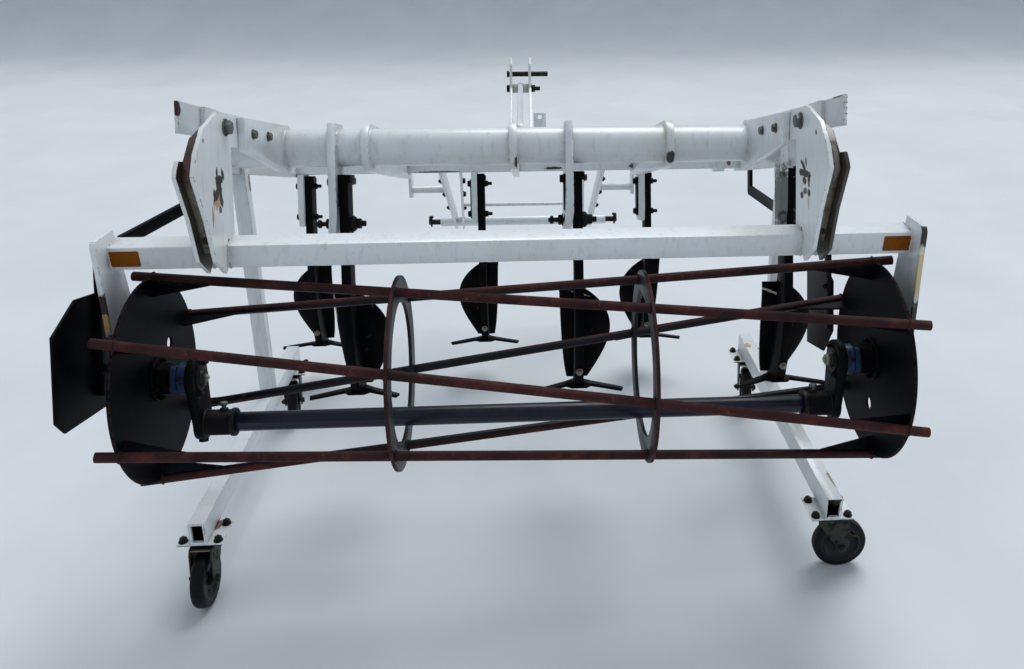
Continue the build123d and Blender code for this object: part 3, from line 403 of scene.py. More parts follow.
# Moulded black rubber and nylon: grey with floor dust where they are scuffed, with hardly any shine
def mould(name, tint, dust, grainMm, ior, shine):
    material, tree, shader, place = startMaterial(name, False, IOR=ior, Specular_IOR_Level=shine)
    scuff = grainMask(tree, place, grainMm, 0.47, 0.75, 0.8, 6)
    colour = addNode(tree, "Mix", {"data_type": "RGBA", 0: scuff, 6: paintColour(tint),
                                   7: paintColour(dust)}, 2)
    finishShader(tree, shader, place, colour, scuff, 0.42, 0.75, 3, 0.2)
    return material


tyreRubber = mould("mouldedRubberTyre", "07080A", "17191B", 22, 1.52, 0.16)
wheelNylon = mould("mouldedNylonWheel", "0C100F", "1C2220", 14, 1.53, 0.25)

# Amber reflective sheet, pressed with small prisms: a honeycomb of light and dark cells under clear film
# the real cells are under 1 mm and are drawn at 3 mm so that they show
material, tree, shader, place = startMaterial("prismaticAmberSheet", True, IOR=1.49, Specular_IOR_Level=0.12)
cells = addNode(tree, "TexVoronoi", {"feature": "DISTANCE_TO_EDGE", "Vector": place, "Scale": 1000 / 3},
                "Distance")
mask = addNode(tree, "MapRange", {"Value": cells, "From Min": 0.02, "From Max": 0.18})
seam, cell = paintColour("6B3A02"), paintColour("8C4C03")
colour = addNode(tree, "Mix", {"data_type": "RGBA", 0: mask, 6: seam, 7: cell}, 2)
colour = mottle(tree, place, colour, [("764004", 26, 0.4, 0.75, 0.6)])
finishShader(tree, shader, place, colour, cells, 0.4, 0.5, 8, 0.1)
reflectorAmber = material
print("materials ready")


# A turned shape: radius and distance along the axis for each ring, six sides for a hexagon
def turned(bm, base, axis, profile, sides=24, closed=False):
    way = Vector(axis).normalized()
    across = way.orthogonal().normalized()
    other = way.cross(across)
    rings = []
    for radius, along in profile:
        middle = Vector(base) + way * along
        if radius < 0.01:
            rings.append([bm.verts.new(middle)])
            continue
        turns = [2 * math.pi * k / sides for k in range(sides)]
        rings.append([bm.verts.new(middle + (across * math.cos(a) + other * math.sin(a)) * radius)
                      for a in turns])
    pairs = list(zip(rings, rings[1:]))
    if closed:
        pairs.append((rings[-1], rings[0]))
    for low, high in pairs:
        for k in range(sides):
            n = (k + 1) % sides
            if len(low) == 1:
                bm.faces.new((low[0], high[n], high[k]))
            elif len(high) == 1:
                bm.faces.new((low[k], low[n], high[0]))
            else:
                bm.faces.new((low[k], low[n], high[n], high[k]))
    if not closed:
        for ring in (rings[0][::-1], rings[-1]):
            if len(ring) > 2:
                bm.faces.new(ring)


# A flat shape pushed out to a thickness
def slab(bm, corners, push):
    near = [bm.verts.new(Vector(c)) for c in corners]
    far = [bm.verts.new(Vector(c) + Vector(push)) for c in corners]
    bm.faces.new(near)
    bm.faces.new(far[::-1])
    for k in range(len(near)):
        n = (k + 1) % len(near)
        bm.faces.new((near[n], near[k], far[k], far[n]))


# A plate seen from the side, on the left (-1) or right (1), from its inner distance outwards
def sidePlate(bm, hand, innerMm, thickMm, outline):
    slab(bm, [(hand * innerMm, f, u) for f, u in outline], (hand * thickMm, 0, 0))


# A bead that follows points, rippled like a run of weld
def bead(bm, points, radius, reference, closed=False, ripple=0.12, sides=7):
    count = len(points)
    rings = []
    for k, point in enumerate(points):
        ahead = points[(k + 1) % count] if closed or k < count - 1 else point
        behind = points[k - 1] if closed or k > 0 else point
        along = (ahead - behind).normalized()
        side = along.cross(Vector(reference)).normalized()
        up = side.cross(along)
        size = radius * (1 + ripple * math.sin(k * 2.1) + ripple * random.uniform(-1, 1))
        rings.append([bm.verts.new(point + (side * math.cos(a) + up * math.sin(a)) * size)
                      for a in [2 * math.pi * j / sides for j in range(sides)]])
    pairs = list(zip(rings, rings[1:]))
    if closed:
        pairs.append((rings[-1], rings[0]))
    for low, high in pairs:
        for j in range(sides):
            n = (j + 1) % sides
            bm.faces.new((low[j], low[n], high[n], high[j]))
    if not closed:
        bm.faces.new(rings[0][::-1])
        bm.faces.new(rings[-1])


def weldRing(bm, centre, axis, radius, size, stepMm=5.0):
    way = Vector(axis).normalized()
    across = way.orthogonal().normalized()
    other = way.cross(across)
    count = max(12, int(2 * math.pi * radius / stepMm))
    points = [Vector(centre) + (across * math.cos(a) + other * math.sin(a)) * radius
              for a in [2 * math.pi * k / count for k in range(count)]]
    bead(bm, points, size, way, True)


def weldRun(bm, start, end, size, stepMm=5.0):
    start, end = Vector(start), Vector(end)
    count = max(3, int((end - start).length / stepMm))
    points = [start.lerp(end, k / count) for k in range(count + 1)]
    bead(bm, points, size, (end - start).orthogonal())


# A hexagon bolt head, or a nut with its thread standing out, on a washer
def fastener(bm, spot, axis, size, tail=0.0, washer=True):
    corner = size * 0.866
    foot = size * 0.16 if washer else 0.0
    if washer:
        turned(bm, spot, axis, [(size * 1.05, 0), (size * 1.05, foot * 0.8), (size, foot)], 20)
    top = foot + size * (0.8 if tail else 0.65)
    turned(bm, spot, axis, [(corner * 0.93, foot), (corner, foot + size * 0.08), (corner, top - size * 0.1),
                            (corner * 0.87, top)], 6)
    if tail:
        thread = [(size * 0.5, top - size * 0.1)]
        turns = max(2, int(tail / 2.5))
        for k in range(turns):
            along = top + tail * k / turns
            thread += [(size * 0.5, along), (size * 0.44, along + tail * 0.5 / turns)]
        thread.append((size * 0.4, top + tail))
        turned(bm, spot, axis, thread, 16)


def softenEdges(piece, widthMm):
    edges = piece.modifiers.new("softEdges", "BEVEL")
    edges.limit_method = "ANGLE"
    edges.angle_limit = math.radians(30)
    edges.width = widthMm / 1000
    edges.segments = 2
    edges.use_clamp_overlap = True
    edges.harden_normals = True


def meshFrom(name, bm, matrix):
    bmesh.ops.recalc_face_normals(bm, faces=bm.faces)
    mesh = bpy.data.meshes.new(name)
    bm.to_mesh(mesh)
    bm.free()
    mesh.transform(matrix)
    return mesh


# What the cutting shape covers is taken out of the piece
def cutAway(piece, tool):
    cutter = bpy.data.objects.new("cutter", meshFrom("cutter", tool, deckMatrix))
    bpy.context.scene.collection.objects.link(cutter)
    bite = piece.modifiers.new("bite", "BOOLEAN")
    bite.operation = "DIFFERENCE"
    bite.solver = "EXACT"
    bite.object = cutter
    bpy.context.view_layer.update()
    cut = bpy.data.meshes.new_from_object(piece.evaluated_get(bpy.context.evaluated_depsgraph_get()))
    piece.modifiers.clear()
    piece.data = cut
    bpy.data.objects.remove(cutter)


# The finished piece, carried by its body and given its material
def makePiece(name, bm, material, body, matrix=deckMatrix, edgeMm=0.0, tools=(), node=None):
    piece = bpy.data.objects.new(name, meshFrom(name, bm, matrix))
    bpy.context.scene.collection.objects.link(piece)
    for tool in tools:
        cutAway(piece, tool)
    for face in piece.data.polygons:
        face.use_smooth = True
    piece.data.materials.clear()
    piece.data.materials.append(material)
    if edgeMm:
        softenEdges(piece, edgeMm)
    else:
        piece.data.set_sharp_from_angle(angle=math.radians(35))
    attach(piece, body)
    if node:
        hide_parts(node)


# The frame's own shape with its facets joined and its edges rounded, in place of the plain solid
def dress(node, name, material, edgeMm, tools=(), bend=None):
    source = frame["nodes"][node]
    body = source["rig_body"]
    bm = bmesh.new()
    bm.from_mesh(source.data)
    bmesh.ops.remove_doubles(bm, verts=bm.verts, dist=0.00002)
    bmesh.ops.dissolve_limit(bm, angle_limit=math.radians(0.6), verts=bm.verts, edges=bm.edges)
    if bend:
        for vert in bm.verts:
            vert.co = deckMatrix @ bend(deckMatrix.inverted() @ vert.co)
    makePiece(name, bm, material, body, Matrix.Identity(4), edgeMm, tools, node)


# Cut and painted steel that keeps the solid's shape: node, piece name, finish and edge radius in millimetres
paintedSteel = {
    "main_pipe": ("mainPipeTube", plainWhite, 1.5),
    "front_beam": ("frontBeamTube", beamWhite, 5.0),
    "link_plates": ("linkPlateSet", linkWhite, 2.0),
    "arm_brackets": ("armBracketPair", plainWhite, 2.0),
    "rear_tube": ("rearTubeSquare", plainWhite, 5.0),
    "mast_plates": ("mastPlatePair", plainWhite, 2.0),
    "mast_stay": ("mastStayBar", plainWhite, 2.5),
    "hitch_cheeks": ("hitchCheekPlates", plainWhite, 1.6),
    "lower_hitch_bar": ("lowerHitchBarTube", plainWhite, 1.5),
    "hitch_side_tubes": ("hitchSideTubePair", plainWhite, 1.6),
    "front_hangers": ("frontHangerPlates", plainWhite, 2.0),
    "stand_rails": ("standRailTubes", railWhite, 3.0),
    "stand_posts": ("standPostTubes", postWhite, 3.0),
    "shanks": ("tineShanks", shankBlack, 2.0),
    "mouldboards": ("mouldboardSet", boardBlack, 1.5),
    "shares": ("shareBlades", shankBlack, 2.0),
    "guard_bars": ("guardBarPair", guardBlack, 2.0),
    "guard_plates": ("guardPlatePair", guardBlack, 1.5),
    "crank_plates": ("crankPlatePair", guardBlack, 2.5),
    "inner_beam": ("innerBeamTube", tubeNavy, 1.0),
    "roller_rings": ("rollerRingPair", ringRust, 1.2),
    "roller_rods": ("rollerRodCage", rodRust, 1.5),
    "roller_gussets": ("rollerGussetSet", discBlack, 1.0),
    "stub_axles": ("stubAxlePair", pinSteel, 1.5),
    "mast_pins": ("mastPinSet", pinSteel, 1.5),
    "lower_hitch_pins": ("lowerHitchPinPair", pinSteel, 1.5),
}
for node, (name, material, edgeMm) in paintedSteel.items():
    dress(node, name, material, edgeMm)

# Rear hangers: the two on the left are kinked at the foot, and the right one is cut back below the pipe
hanger = {"kinkMm": 9.0, "kinkFromMm": -185.0, "kinkToMm": -240.0, "kinkedUpToXMm": 600.0,
          "cutFromXMm": 700.0, "cutWideMm": 30.3, "cutForwardMm": -8.0, "cutUpMm": -56.0}


def kinkFoot(spot):
    share = (spot.z - hanger["kinkFromMm"]) / (hanger["kinkToMm"] - hanger["kinkFromMm"])
    if spot.x < hanger["kinkedUpToXMm"]:
        spot.x -= hanger["kinkMm"] * min(1, max(0, share))
    return spot


tool = bmesh.new()
rear, top = hanger["cutForwardMm"], hanger["cutUpMm"]
cutAcross = [(rear, top), (100, top), (100, -260), (rear, -260)]
sidePlate(tool, 1, hanger["cutFromXMm"], hanger["cutWideMm"], cutAcross)
dress("rear_hangers", "rearHangerPlates", hangerWhite, 2.0, [tool], kinkFoot)

# The tails of the side plates are thinned to their outer half, with bites out of the right one's end
tail = {"thinFromMm": 780.0, "thinMm": 22.0, "rearMm": -400.0, "frontMm": -152.0, "lowMm": 0.0,
        "topMm": 140.0,
        "bites": [(-292, 37, 5.5), (-291, 51, 6.5), (-292, 66, 6.5), (-291, 80, 6), (-292, 93, 5.5)]}
tool = bmesh.new()
bites = bmesh.new()
for f, u, radius in tail["bites"]:
    turned(bites, (tail["thinFromMm"], f, u), (1, 0, 0), [(radius, 0), (radius, 50)], 14)
rear, front, low, top = (tail[side] for side in ("rearMm", "frontMm", "lowMm", "topMm"))
cutAlong = [(rear, low), (rear, top), (front, top), (front, low)]
for hand in hands:
    sidePlate(tool, hand, tail["thinFromMm"], tail["thinMm"], cutAlong)
dress("side_plates", "sidePlatePair", tailWhite, 1.6, [tool, bites])
print("steelwork dressed")

# The square rear tube: its middle and how it is turned
tube = {"forwardMm": -421.5, "upMm": -241.5, "halfMm": 27.5, "turnDeg": 23.0, "endMm": 903.0}


# A corner or face point of the rear tube, in its own turned directions
def tubePoint(x, f, u):
    turn = math.radians(tube["turnDeg"])
    return Vector((x, tube["forwardMm"] + f * math.cos(turn) - u * math.sin(turn),
                   tube["upMm"] + f * math.sin(turn) + u * math.cos(turn)))


fourCorners = [(-1, -1), (1, -1), (1, 1), (-1, 1)]

# Arms: an inner plate, a web and an outer plate that stops short of the top
arm = {"innerMm": 646.0, "plateMm": 9.0, "webMm": 27.0, "outerMm": 681.5,
       "plate": [(-140, 56), (-318, 65), (-478, 65), (-567, 25), (-612, -30), (-630, -76), (-568, -164),
                 (-521, -256), (-460, -287), (-401, -204), (-403, -9), (-320, -7), (-140, -5)],
       "web": [(-470, 40), (-553, 5), (-590, -42), (-602, -76), (-545, -156), (-498, -240), (-491, -236),
               (-537, -153), (-593, -76), (-583, -46), (-548, -2), (-468, 32)],
       "outer": [(-611, -42), (-623, -60), (-630, -76), (-568, -164), (-521, -256), (-460, -287),
                 (-401, -204), (-402, -50)],
       "holes": {-1: [(-571, -1, 5.5), (-442, -216, 5.0)], 1: [(-542, 2, 5.5), (-442, -216, 5.0)]}}


# The tube passes through the arms with a little room all round
def cutForTube(bm, hand):
    half = tube["halfMm"] + 0.2
    slab(bm, [tubePoint(hand * 600, f * half, u * half) for f, u in fourCorners], (hand * 120, 0, 0))


bm = bmesh.new()
holes = bmesh.new()
tubeCut = bmesh.new()
for hand in hands:
    sidePlate(bm, hand, arm["innerMm"], arm["plateMm"], arm["plate"])
    for f, u, radius in arm["holes"][hand]:
        turned(holes, (hand * 630, f, u), (hand, 0, 0), [(radius, 0), (radius, 40)], 20)
    cutForTube(tubeCut, hand)
makePiece("armPlatePair", bm, armWhite, "frame", deckMatrix, 1.8, [tubeCut, holes], "arms")
for hand, finish in ((-1, armWhite), (1, armDark)):
    bm = bmesh.new()
    tubeCut = bmesh.new()
    sidePlate(bm, hand, arm["innerMm"] + arm["plateMm"], arm["webMm"], arm["web"])
    sidePlate(bm, hand, arm["outerMm"], arm["plateMm"], arm["outer"])
    cutForTube(tubeCut, hand)
    makePiece("armWeb" + sides[hand], bm, finish, "frame", deckMatrix, 1.8, [tubeCut])

# End plates down to the roller axle, with a narrow flange folded along the rear edge
endPlate = {"innerMm": 903.0, "plateMm": 10.0, "flangeMm": 1.4, "bossMm": 55.0,
            "plate": [(-505, -209), (-425, -188), (-372, -297), (-325, -404), (-324, -530), (-378, -590),
                      (-428, -556), (-440, -455), (-479, -303), (-503, -222)],
            "edge": [(-507, -212), (-497, -208), (-503, -222), (-479, -303), (-440, -455), (-430, -503),
                     (-438, -505), (-448, -457), (-487, -305), (-510, -224)]}
bm = bmesh.new()
for hand in hands:
    axle = (hand * endPlate["innerMm"], machine["axleForwardMm"], machine["axleUpMm"])
    sidePlate(bm, hand, endPlate["innerMm"], endPlate["plateMm"], endPlate["plate"])
    boss, thick = endPlate["bossMm"], endPlate["plateMm"]
    turned(bm, axle, (hand, 0, 0), [(boss, 0.3), (boss, thick + 0.3)], 48)
makePiece("endPlatePair", bm, plainWhite, "frame", deckMatrix, 1.4, (), "end_plates")
for hand in hands:
    bm = bmesh.new()
    thick = endPlate["plateMm"] + endPlate["flangeMm"]
    sidePlate(bm, hand, endPlate["innerMm"] - 0.4, thick, endPlate["edge"])
    makePiece("endPlateEdge" + sides[hand], bm, edgeWhite[hand], "frame", deckMatrix, 1.2)
print("arms and end plates built")

# Weld beads where white plates meet the pipe, the beam and the rear tube
frameWelds = {"pipeRadiusMm": 50.8, "beadMm": 2.1, "tubeBeadMm": 2.2, "beamBeadMm": 2.6,
              "pipeFacesMm": [-423, -403, -29, -9, 399, 419, -510.5, -490.5, 122.5, 142.5, 710.5, 730.5,
                              -646, -628, 628, 646, -791, 791],
              "tubeFacesMm": [-690, -682, -655, -646, 646, 655, 682, 690, -903, 903],
              "beamEndsMm": (-791, 791), "beamRearMm": 705.5, "beamFrontMm": 780.5, "beamLowMm": -67.5,
              "beamTopMm": 7.5}
bm = bmesh.new()
for x in frameWelds["pipeFacesMm"]:
    weldRing(bm, (x, 0, 0), (1, 0, 0), frameWelds["pipeRadiusMm"] + 0.6, frameWelds["beadMm"])
for x in frameWelds["tubeFacesMm"]:
    corners = [tubePoint(x, f * tube["halfMm"], u * tube["halfMm"]) for f, u in fourCorners]
    for k in range(4):
        weldRun(bm, corners[k], corners[(k + 1) % 4], frameWelds["tubeBeadMm"])
rear, front, low, top = (frameWelds[side] for side in ("beamRearMm", "beamFrontMm", "beamLowMm", "beamTopMm"))
for x in frameWelds["beamEndsMm"]:
    for end in ((x, rear, top), (x, front, low)):
        weldRun(bm, (x, rear, low), end, frameWelds["beamBeadMm"])
makePiece("whiteWeldBeads", bm, plainWhite, "frame")

# The cage: beads where its rods pass the discs and the rings, and discs each with one hole
cage = {"radiusMm": 235.0, "discMm": 843.5, "phaseDeg": 30.0, "twistDeg": 60.0, "rods": 6, "beadMm": 2.4,
        "rodMm": 11.0, "beadsMm": [-840, 840, -291, -283, 283, 291]}


def cagePoint(x, radius, turnDeg):
    turn = math.radians(turnDeg)
    return Vector((x, machine["axleForwardMm"] + radius * math.cos(turn),
                   machine["axleUpMm"] + radius * math.sin(turn)))


bm = bmesh.new()
for number in range(cage["rods"]):
    turn = cage["phaseDeg"] + number * 360 / cage["rods"]
    left = cagePoint(-cage["discMm"], cage["radiusMm"], turn)
    right = cagePoint(cage["discMm"], cage["radiusMm"], turn + cage["twistDeg"])
    for x in cage["beadsMm"]:
        spot = left.lerp(right, (x + cage["discMm"]) / (2 * cage["discMm"]))
        weldRing(bm, spot, right - left, cage["rodMm"] + 0.4, cage["beadMm"], 4.0)
makePiece("cageWeldBeads", bm, rodRust, "roller")

# Discs, and hubs with a flange on the inner side and a cover ring on the outer, each bolted through
disc = {"faceMm": 840.0, "thickMm": 7.0, "innerMm": 30.0, "softMm": 1.2,
        "holes": {-1: (-303, -467, 16), 1: (-358, -651, 16)}}
hub = {"boreMm": 21.5, "radiusMm": 36.0, "fromMm": 806.0, "longMm": 62.0, "flangeMm": 833.0, "coverMm": 846.8,
       "bolts": 6, "flangeBoltsMm": 42.5, "coverBoltsMm": 47.0, "coverFaceMm": 853.5}
bm = bmesh.new()
hubs = bmesh.new()
tool = bmesh.new()
bore, rim, end = hub["boreMm"], hub["radiusMm"], hub["longMm"]
hubProfile = [(bore, 0), (rim - 1.5, 0), (rim, 1.5), (rim, end - 1.5), (rim - 1.5, end), (bore, end)]
bore, rim, end, soft = disc["innerMm"], cage["radiusMm"], disc["thickMm"], disc["softMm"]
discProfile = [(bore, 0), (rim - soft, 0), (rim, soft), (rim, end - soft), (rim - soft, end), (bore, end)]
for hand in hands:
    way = (hand, 0, 0)
    turned(bm, cagePoint(hand * disc["faceMm"], 0, 0), way, discProfile, 120, True)
    f, u, radius = disc["holes"][hand]
    turned(tool, (hand * 820, f, u), way, [(radius, 0), (radius, 50)], 32)
    for x, profile in ((hub["fromMm"], hubProfile),
                       (hub["flangeMm"], [(35, 0), (48, 0), (50, 2), (50, 7.2), (35, 7.2)]),
                       (hub["coverMm"], [(35, 0), (60, 0), (60, 5), (58, 7), (35, 7)])):
        turned(hubs, cagePoint(hand * x, 0, 0), way, profile, 48, True)
makePiece("rollerDiscPair", bm, discBlack, "roller", deckMatrix, 0, [tool], "roller_discs")
makePiece("rollerHubPair", hubs, shankBlack, "roller")
bm = bmesh.new()
for hand in hands:
    for number in range(hub["bolts"]):
        turn = 20 + number * 360 / hub["bolts"]
        fastener(bm, cagePoint(hand * hub["flangeMm"], hub["flangeBoltsMm"], turn), (-hand, 0, 0), 7, 5)
        fastener(bm, cagePoint(hand * hub["coverFaceMm"], hub["coverBoltsMm"], turn), (hand, 0, 0), 10)
makePiece("hubBolts", bm, shankBlack, "roller")
print("roller fitted out")

# Bolts of the arms and their brackets, heads on the inner side and nuts on the outer: forward, up, size
armBolts = {"big": (-437, 34, 16), "small": [(-300, 25, 12), (-180, 25, 12)], "bracketMm": 628.0}
nutSide = arm["innerMm"] + arm["plateMm"]
bm = bmesh.new()
for hand in hands:
    f, u, size = armBolts["big"]
    fastener(bm, (hand * arm["innerMm"], f, u), (-hand, 0, 0), size * 1.15)
    fastener(bm, (hand * nutSide, f, u), (hand, 0, 0), size, 8)
    for f, u, size in armBolts["small"]:
        fastener(bm, (hand * armBolts["bracketMm"], f, u), (-hand, 0, 0), size)
        fastener(bm, (hand * nutSide, f, u), (hand, 0, 0), size * 0.9, 7)
makePiece("armBolts", bm, greySteel, "frame")

# Tine clamps: two bolts through the hanger in the front row, a bolt and a heavy clamp bolt in the rear row
tines = {"frontX": [-754, -148, 452], "rearX": [-478, 155, 743], "frontRowMm": 743, "rearRowMm": 0,
         "hangerMm": 32.5, "halfShankMm": 12.5, "kinkMm": 7.0, "boltsUpMm": (-108, -217), "boltMm": 13,
         "clampUpMm": -206}


# A flat upright plate across the machine: its left face, rear and front, top and bottom, and thickness
def clampPlate(bm, x, rear, front, top, low, thick):
    slab(bm, [(x, rear, top), (x, front, top), (x, front, low), (x, rear, low)], (thick, 0, 0))


bm = bmesh.new()
bright = bmesh.new()
plates = bmesh.new()
row, clampUp = tines["frontRowMm"], tines["clampUpMm"]
leftward, rightward = (-1, 0, 0), (1, 0, 0)
for x in tines["frontX"]:
    left, right = x - tines["hangerMm"], x + tines["halfShankMm"]
    clampPlate(plates, left - 6, 720, 766, -92, -232, 6)
    clampPlate(plates, right, 719, 767, -78, -96, 5)
    for u in tines["boltsUpMm"]:
        fastener(bm, (left - 6, row, u), leftward, tines["boltMm"])
        fastener(bm, (right, row, u), rightward, tines["boltMm"], 14)
for x in tines["rearX"]:
    left, right = x - tines["hangerMm"], x + tines["halfShankMm"]
    clampPlate(plates, x - tines["halfShankMm"], -34, 34, -73, -96, 32)
    fastener(bright, (x + 19.5, 0, -90), rightward, 11)
    turned(bm, (right, 0, clampUp), rightward, [(22, 0), (22, 9), (19, 12)], 24)
    fastener(bm, (right + 12, 0, clampUp), rightward, 17, 12)
    if x == tines["rearX"][-1]:
        # the right hanger's bolts pass in from behind, and its clamp bolt's nut stands in the open
        for u in (-89, -208):
            fastener(bright, (716, -63, u), (0, -1, 0), 9)
        turned(bm, (x - 28, -14, clampUp), rightward, [(7, 0), (7, 18)], 16)
        fastener(bm, (x - 20, -14, clampUp), leftward, 12)
        continue
    clampPlate(plates, left - 5, -24, 24, -78, -180, 5)
    fastener(bm, (left - 5, 0, -92), leftward, tines["boltMm"])
    # the clamp bolt stands far out to the left and carries a heavy nut on each side
    foot = left - tines["kinkMm"]
    turned(bm, (foot - 42, 0, clampUp), rightward, [(5, 0), (6.5, 2), (6.5, 12), (6.5, 60)], 16)
    fastener(bm, (foot - 28, 0, clampUp), leftward, 14, 0.0, False)
    fastener(bm, (foot - 1, 0, clampUp), leftward, 17)
makePiece("tineClampBolts", bm, fastenerBlack, "frame")
makePiece("tineClampPlates", plates, shankBlack, "frame", edgeMm=1.5)
makePiece("tineUpperBolts", bright, greySteel, "frame")

# Bolts that hold the mouldboards, found on the boards' own rear faces: share of the board's width, and up
boardBolts = {"spots": [(0.55, -440), (0.30, -528), (0.10, -571)], "sizeMm": 7, "nearMm": 18, "wideMm": 62,
              "footUpMm": -640, "footBoltMm": 10, "shareUpMm": -696}
boardMesh = bmesh.new()
boardMesh.from_mesh(frame["nodes"]["mouldboards"].data)
boardTree = BVHTree.FromBMesh(boardMesh)
boardMesh.free()
toDeck = deckMatrix.inverted()
forwardWay = (deckMatrix.to_3x3() @ Vector((0, 1, 0))).normalized()
bm = bmesh.new()
feet = bmesh.new()
for row, xs, hand in ((tines["frontRowMm"], tines["frontX"], -1), (tines["rearRowMm"], tines["rearX"], 1)):
    for x in xs:
        for share, up in boardBolts["spots"]:
            aside = boardBolts["nearMm"] + boardBolts["wideMm"] * share
            start = deckMatrix @ Vector((x + hand * aside, row - 120, up))
            hit, normal = boardTree.ray_cast(start, forwardWay)[:2]
            if hit:
                away = toDeck.to_3x3() @ normal
                away = away.normalized() * (1 if away.y < 0 else -1)
                fastener(bm, toDeck @ hit, away, boardBolts["sizeMm"], 4)
        foot = (x, row + 24, boardBolts["footUpMm"])
        fastener(feet, foot, (0, -0.92, -0.4), boardBolts["footBoltMm"], 5)
        turned(feet, (x, row + 100, boardBolts["shareUpMm"]), (0, 0, -1), [(9, 0), (9, 4), (5, 6)], 20)
makePiece("boardBoltEnds", bm, fastenerBlack, "frame")
makePiece("footBolts", feet, brightSteel, "frame")

# Bolts of the guards, through their strips and plates: across, side the bolt points to, forward, up, size
guardBolts = [(836, 1, 182, -93, 12), (836, 1, 182, -217, 12), (811, -1, 182, -93, 12),
              (811, -1, 182, -217, 12), (-836, -1, 52, -60, 11), (-836, -1, 52, -98, 11),
              (938, -1, 219, -440, 10), (938, -1, 219, -540, 10), (-938, 1, -410, -380, 10),
              (-938, 1, -410, -500, 10)]
bm = bmesh.new()
for x, way, f, u, size in guardBolts:
    fastener(bm, (x, f, u), (way, 0, 0), size, 5)
makePiece("guardBolts", bm, fastenerBlack, "frame")
print("tools bolted")

# Mast hardware: a nut on the stay bolt, a washer on the top link pin
mast = {"forwardMm": 1000, "halfMm": 41, "boltUpMm": 256, "boltMm": 16, "pinUpMm": 312, "pinWasherMm": 48}
bm = bmesh.new()
fastener(bm, (mast["halfMm"], mast["forwardMm"], mast["boltUpMm"]), (1, 0, 0), mast["boltMm"], 10)
fastener(bm, (-mast["halfMm"], mast["forwardMm"], mast["boltUpMm"]), (-1, 0, 0), mast["boltMm"])
pinEnd = (-mast["pinWasherMm"], mast["forwardMm"], mast["pinUpMm"])
turned(bm, pinEnd, (-1, 0, 0), [(13, -3), (13, 3), (11, 4)], 24)
makePiece("mastNuts", bm, fastenerBlack, "frame")

# Hitch cheeks are held by bolts, with heads toward the middle on the inner plates
# the cheeks run together from the beam to the lower bar, so the bolts' places change with the way along
cheekBolts = {"rows": [(800, -52), (800, -12), (900, -98), (1000, -150), (1110, -205)], "sizeMm": 12,
              "startMm": 780.5, "endMm": 1246.0, "innerMm": (217.5, 244.5), "outerMm": (305.5, 283.5)}
bm = bmesh.new()
for hand in hands:
    for f, u in cheekBolts["rows"]:
        share = (f - cheekBolts["startMm"]) / (cheekBolts["endMm"] - cheekBolts["startMm"])
        inner, outer = (near + (far - near) * share
                        for near, far in (cheekBolts["innerMm"], cheekBolts["outerMm"]))
        fastener(bm, (hand * inner, f, u), (-hand, 0, 0), cheekBolts["sizeMm"])
        fastener(bm, (hand * outer, f, u), (hand, 0, 0), cheekBolts["sizeMm"], 5)
makePiece("cheekBolts", bm, fastenerBlack, "frame")

# Linch pins through the lower hitch pins, each a short pin with a sprung ring
linch = {"xMm": 380.0, "forwardMm": 1212.0, "upMm": -268.0, "pinMm": 4.5, "halfMm": 21.0, "ringMm": 19.0,
         "wireMm": 2.2, "ringPoints": 40}
bm = bmesh.new()
for hand in hands:
    x, pin, long = hand * linch["xMm"], linch["pinMm"], 2 * linch["halfMm"]
    turned(bm, (x, linch["forwardMm"], linch["upMm"] - linch["halfMm"]), (0, 0, 1),
           [(1, 0), (pin, 5), (pin, long - 6), (9, long - 4), (9, long + 3), (6, long + 5)], 18)
    ring = []
    for k in range(linch["ringPoints"]):
        a = 2 * math.pi * k / linch["ringPoints"]
        ring.append(Vector((x + hand * (3 + 5 * math.cos(a)),
                            linch["forwardMm"] - 2 + linch["ringMm"] * math.sin(a),
                            linch["upMm"] + linch["ringMm"] * math.cos(a))))
    bead(bm, ring, linch["wireMm"], (1, 0, 0), True, 0.0)
makePiece("linchPins", bm, linchSteel, "frame")

# An outline about its own middle with rounded corners, each of so many points
def roundedCorners(halfWide, halfHigh, curve, points):
    outline = []
    for sx, su, start in ((1, 1, 0), (-1, 1, 90), (-1, -1, 180), (1, -1, 270)):
        for k in range(points):
            a = math.radians(start + 90 * k / (points - 1))
            outline.append((sx * (halfWide - curve) + curve * math.cos(a),
                            su * (halfHigh - curve) + curve * math.sin(a)))
    return outline


# Amber reflectors stuck on the rear face of the rear tube
reflectors = {"middleMm": (-869.5, 869.5), "halfWideMm": 31.5, "halfHighMm": 19.0, "thickMm": 1.2,
              "cornerMm": 3.0}
rearward = tubePoint(0, -1, 0) - tubePoint(0, 0, 0)
bm = bmesh.new()
for middle in reflectors["middleMm"]:
    outline = roundedCorners(reflectors["halfWideMm"], reflectors["halfHighMm"], reflectors["cornerMm"], 5)
    sheet = [tubePoint(middle + x, -tube["halfMm"], u) for x, u in outline]
    slab(bm, sheet, rearward * reflectors["thickMm"])
makePiece("amberReflectors", bm, reflectorAmber, "frame", edgeMm=0.4)
print("hitch and reflectors fitted")

